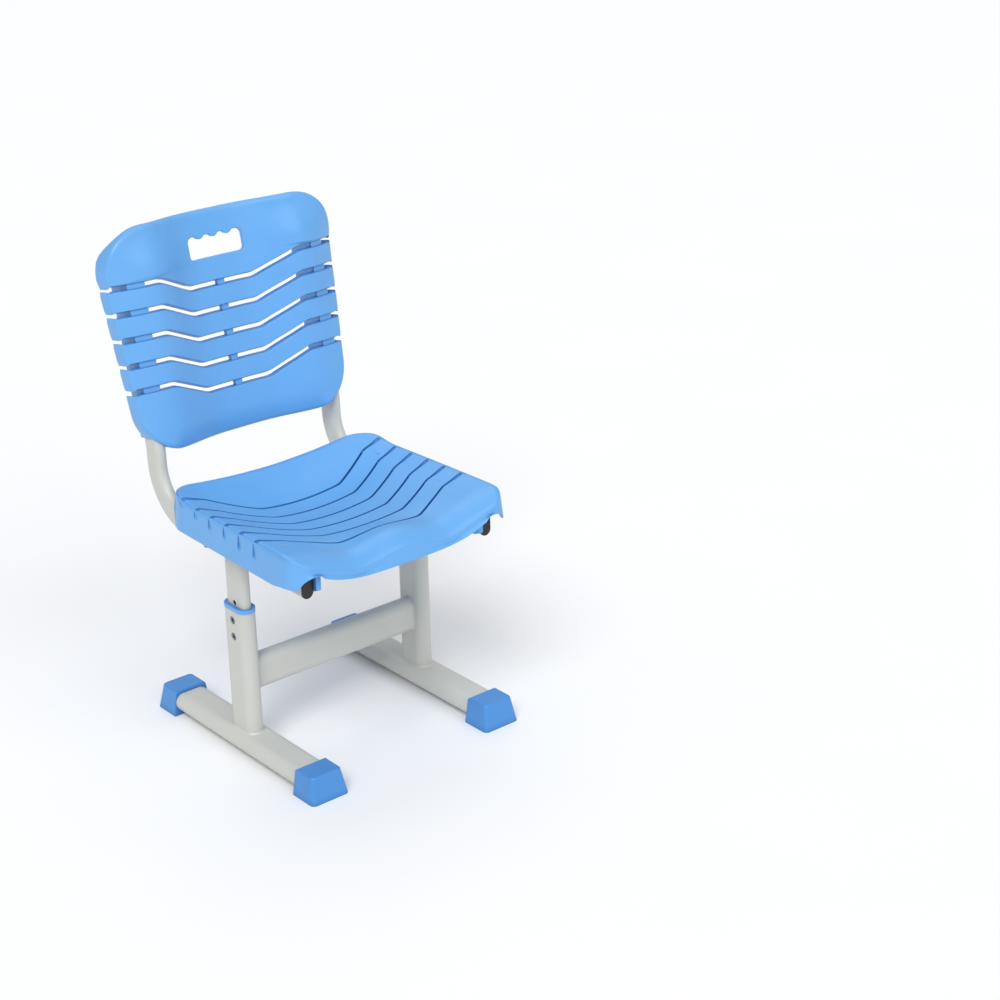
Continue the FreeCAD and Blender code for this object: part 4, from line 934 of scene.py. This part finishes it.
def tube_mouth(x_mid, s, count):
    """Flat-oval mouth with as many points as the sleeve's section, starting at the same corner."""
    half, straight = MOUTH["half"], MOUTH["reach"] - MOUTH["half"]
    points = []
    for k in range(count):
        a = math.radians(MOUTH["first_degrees"]) + math.tau * k / count
        c, d = math.cos(a), math.sin(a)
        points.append((x_mid + half * c, s, MOUTH["n"] + half * d + (straight if d >= 0 else -straight)))
    return points


def sleeve_at(x_mid, s, cut=0.0):
    """The sleeve's section, made smaller all round by a cut."""
    return sleeve_section(x_mid, SLEEVE["half"] - cut, s, SLEEVE["back"] + cut, SLEEVE["ease"],
                          SLEEVE["sink"])


for x_mid in (-TUBE_X, TUBE_X):
    corners = len(sleeve_at(x_mid, SLEEVE["low"]))
    sections = [tube_mouth(x_mid, SLEEVE["low"] + SLEEVE["recess"], corners),
                tube_mouth(x_mid, SLEEVE["low"], corners)]
    straight_top = SLEEVE["high"] - SLEEVE["end_run"]
    sections += [sleeve_at(x_mid, s) for s in spaced(SLEEVE["low"], straight_top, SLEEVE["step"])]
    sections += [sleeve_at(x_mid, SLEEVE["high"] - below, cut) for cut, below in SLEEVE["end_cuts"]]
    backrest.loft(sections)
rib_top = SLOT["first"] + SLOT["count"] * SLOT["pitch"] - SLOT["drop"] - MIDDLE_RIB["below_top"]
backrest.loft([sleeve_section(0, MIDDLE_RIB["half"], s, MIDDLE_RIB["back"], MIDDLE_RIB["ease"],
                              MIDDLE_RIB["sink"])
               for s in spaced(MIDDLE_RIB["low"], rib_top, SLEEVE["step"])])

LEAN = math.radians(BACK["lean"])


def leant_back(p):
    """The backrest's own frame to the frame's metres."""
    x, s, n = p
    y = BACK["setback"] + s * math.sin(LEAN) - n * math.cos(LEAN)
    z = BACK["low"] + s * math.cos(LEAN) + n * math.sin(LEAN)
    return from_columns((x, y, z))


back_piece = backrest.build("backrest_moulding", leant_back, SKY_BLUE)
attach(back_piece, "seat_carrier")
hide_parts("backrest_shell")

# %% [markdown]
# ## Weld beads
# Where one tube stands on or butts against another, a weld bead fills the corner and the powder
# coat rounds it off. A bead is a closed ring of small rounded triangles round the joint. It is
# what makes the frame read as welded steel instead of as boxes pushed together.


# %% Weld beads
BEAD_SECTION = ((-0.3, -0.3), (1.0, -0.15), (0.72, 0.12), (0.36, 0.36), (0.12, 0.72), (-0.15, 1.0))
BEAD_MM = {"column foot": 3.0, "crossbeam": 2.6, "brace": 2.2, "inner column": 2.0}
SWELL, SWELL_TURN = 0.10, 2.1  # a bead's thickness wanders by a tenth along its run


def bead(name, outline, body, size_mm):
    """A bead along a closed outline of (point, outward, away): the joint and its two tube faces."""
    shell = Shell()
    rings = []
    for k, (point, outward, away) in enumerate(outline):
        swell = size_mm * (1 + SWELL * math.sin(k * SWELL_TURN))
        ring = []
        for reach, rise in BEAD_SECTION:
            place = point + outward * (reach * swell) + away * (rise * swell)
            ring.append(shell.point(*place))
        rings.append(ring + ring[:1])
    rings.append(rings[0])
    shell.grid(rings)
    thing = shell.build(name, lambda p: tuple(v * MM for v in p), GREY_COAT, sharp_degrees=70)
    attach(thing, body)
    return thing


def flat_oval(wide, thin, step=1.8):
    """Points and outward directions round a flat-oval section, its long way along the first axis."""
    radius, straight = thin / 2, (wide - thin) / 2
    steps = max(8, round(math.pi * radius / step))
    points = []
    for end in (1, -1):
        for k in range(steps + 1):
            a = -math.pi / 2 + math.pi * k / steps if end > 0 else math.pi / 2 + math.pi * k / steps
            points.append(((end * straight + radius * math.cos(a), radius * math.sin(a)),
                           (math.cos(a), math.sin(a))))
        for along in spaced(end * straight, -end * straight, step * 2)[1:-1]:
            points.append(((along, end * radius), (0, end)))
    return points


# %% Beads at every joint
UP = Vector((0, 0, 1))
BRACE_SIDES = 40
BRACE_ANGLES = [math.tau * k / BRACE_SIDES for k in range(BRACE_SIDES)]
for side, word in ((-1, "right"), (1, "left")):
    low, high = (Vector(c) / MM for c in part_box(f"outer_column_{word}"))
    middle = (low + high) / 2
    ring = [(Vector((middle.x + b, middle.y + a, low.z)), Vector((q, p, 0)), UP)
            for (a, b), (p, q) in flat_oval(high.y - low.y, high.x - low.x)]
    bead(f"weld_column_foot_{word}", ring, "base", BEAD_MM["column foot"])
    low, high = (Vector(c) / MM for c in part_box("crossbeam"))
    inward = Vector((-side, 0, 0))
    end_x = high.x if side > 0 else low.x
    middle = (low + high) / 2
    ring = [(Vector((end_x, middle.y + b, middle.z + a)), Vector((0, q, p)), inward)
            for (a, b), (p, q) in flat_oval(high.z - low.z, high.y - low.y)]
    bead(f"weld_crossbeam_{word}", ring, "base", BEAD_MM["crossbeam"])
    for brace in ("front_brace", "rear_brace"):
        low, high = (Vector(c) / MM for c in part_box(brace))
        end_x = high.x if side > 0 else low.x
        middle, radius = (low + high) / 2, (high.z - low.z) / 2
        ring = [(Vector((end_x, middle.y + radius * math.cos(a), middle.z + radius * math.sin(a))),
                 Vector((0, math.cos(a), math.sin(a))), inward) for a in BRACE_ANGLES]
        bead(f"weld_{brace}_{word}", ring, "seat_carrier", BEAD_MM["brace"])
    low, high = (Vector(c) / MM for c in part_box(f"inner_column_{word}"))
    middle = (low + high) / 2
    ring = [(Vector((middle.x + b, middle.y + a, high.z)), Vector((q, p, 0)), -UP)
            for (a, b), (p, q) in flat_oval(high.y - low.y, high.x - low.x)]
    bead(f"weld_inner_column_{word}", ring, "seat_carrier", BEAD_MM["inner column"])

# %% [markdown]
# ## Floor, light and camera
# A pale floor, one large soft key from the front left and above, a wide fill from the front, a
# faint light from behind, and an even pale world give a studio look with soft contact shadows. The
# lights are distant ones, so they light every part alike; a wide angle makes them soft. The world
# behind the floor is drawn a little brighter than it shines, so the horizon doesn't show.

# %% World and lights
AIR_STRENGTH, BACKDROP_STRENGTH = 0.5, 1.0
world = bpy.data.worlds.new("studio air")
bpy.context.scene.world = world
world.use_nodes = True
air = world.node_tree
air.nodes["Background"].inputs["Color"].default_value = linear("#F4F6FA")
air.nodes["Background"].inputs["Strength"].default_value = AIR_STRENGTH
backdrop = add(air, "ShaderNodeBackground",
               inputs={"Color": linear("#F7F8F9"), "Strength": BACKDROP_STRENGTH})
seen = add(air, "ShaderNodeLightPath").outputs["Is Camera Ray"]
both = add(air, "ShaderNodeMixShader", inputs={0: seen, 1: air.nodes["Background"].outputs[0],
                                               2: backdrop.outputs[0]})
air.links.new(both.outputs[0], air.nodes["World Output"].inputs["Surface"])


def soft_light(name, turn, height, spread, strength):
    """A distant soft box: its compass turn and height in degrees, how wide it looks, and its strength."""
    lamp = bpy.data.lights.new(name, "SUN")
    lamp.angle = math.radians(spread)
    lamp.energy = strength
    thing = bpy.data.objects.new(name, lamp)
    turn, height = math.radians(turn), math.radians(height)
    towards = Vector((math.sin(turn) * math.cos(height), -math.cos(turn) * math.cos(height),
                      math.sin(height)))
    thing.rotation_euler = towards.to_track_quat("Z", "Y").to_euler()
    bpy.context.scene.collection.objects.link(thing)
    return thing


LIGHTS = [soft_light("key light", -54, 48, 30, 1.65), soft_light("fill light", 5, 40, 50, 0.8),
          soft_light("rear light", 150, 55, 40, 0.35)]
print("lights:", [thing.name for thing in LIGHTS])

# %% Floor
FLOOR_HALF = 12.0  # metres
FIBRE_MM = 400
floor_mesh = bpy.data.meshes.new("studio_floor")
floor_mesh.from_pydata([(-FLOOR_HALF, -FLOOR_HALF, 0), (FLOOR_HALF, -FLOOR_HALF, 0),
                        (FLOOR_HALF, FLOOR_HALF, 0), (-FLOOR_HALF, FLOOR_HALF, 0)], [], [(0, 1, 2, 3)])
floor = bpy.data.objects.new("studio_floor", floor_mesh)
bpy.context.scene.collection.objects.link(floor)
paper, paper_tree, paper_shader, paper_place = finish_of("seamless paper, white", 0.85)
fibre = add(paper_tree, "ShaderNodeTexNoise",
            inputs={"Vector": paper_place, "Scale": per_metre(FIBRE_MM), "Detail": 2.0})
paper_tint = add(paper_tree, "ShaderNodeMix", {"data_type": "RGBA"},
                 {"Factor": fibre.outputs["Fac"], FIRST: linear("#F6F6F6"), SECOND: linear("#F3F4F5")})
paper_tree.links.new(paper_tint.outputs[MIXED], paper_shader.inputs["Base Color"])
floor_mesh.materials.append(paper)

# %% [markdown]
# ### Camera
# A long lens from well back keeps the upright columns nearly parallel. The camera stands at the
# front left, looks down on the seat, and is placed in millimetres from the columns.

# %% Camera
CAMERA = {"turn": -39.764, "dip": 22.799, "roll": -1.236, "lens": 76.796, "x": -1763.876, "y": -2549.854,
          "z": 1669.404}


def aimed(turn, dip, roll):
    """Camera axes from its compass turn, its dip below level and its roll, in degrees."""
    turn, dip, roll = (math.radians(v) for v in (turn, dip, roll))
    back = Vector((math.sin(turn) * math.cos(dip), -math.cos(turn) * math.cos(dip), math.sin(dip)))
    right = (-back).cross(UP).normalized()
    up = right.cross(-back)
    right, up = right * math.cos(roll) + up * math.sin(roll), up * math.cos(roll) - right * math.sin(roll)
    return Matrix((right, up, back)).transposed()


lens = bpy.data.cameras.new("camera")
lens.lens = CAMERA["lens"]
lens.sensor_width = 36
lens.clip_end = 60
camera = bpy.data.objects.new("camera", lens)
bpy.context.scene.collection.objects.link(camera)
position = Vector(from_columns((CAMERA["x"], CAMERA["y"], CAMERA["z"])))
axes = aimed(CAMERA["turn"], CAMERA["dip"], CAMERA["roll"])
camera.matrix_world = Matrix.Translation(position) @ axes.to_4x4()
bpy.context.scene.camera = camera
bpy.context.scene.view_settings.view_transform = "Standard"
print("camera stands at", [round(v, 2) for v in position], "metres")
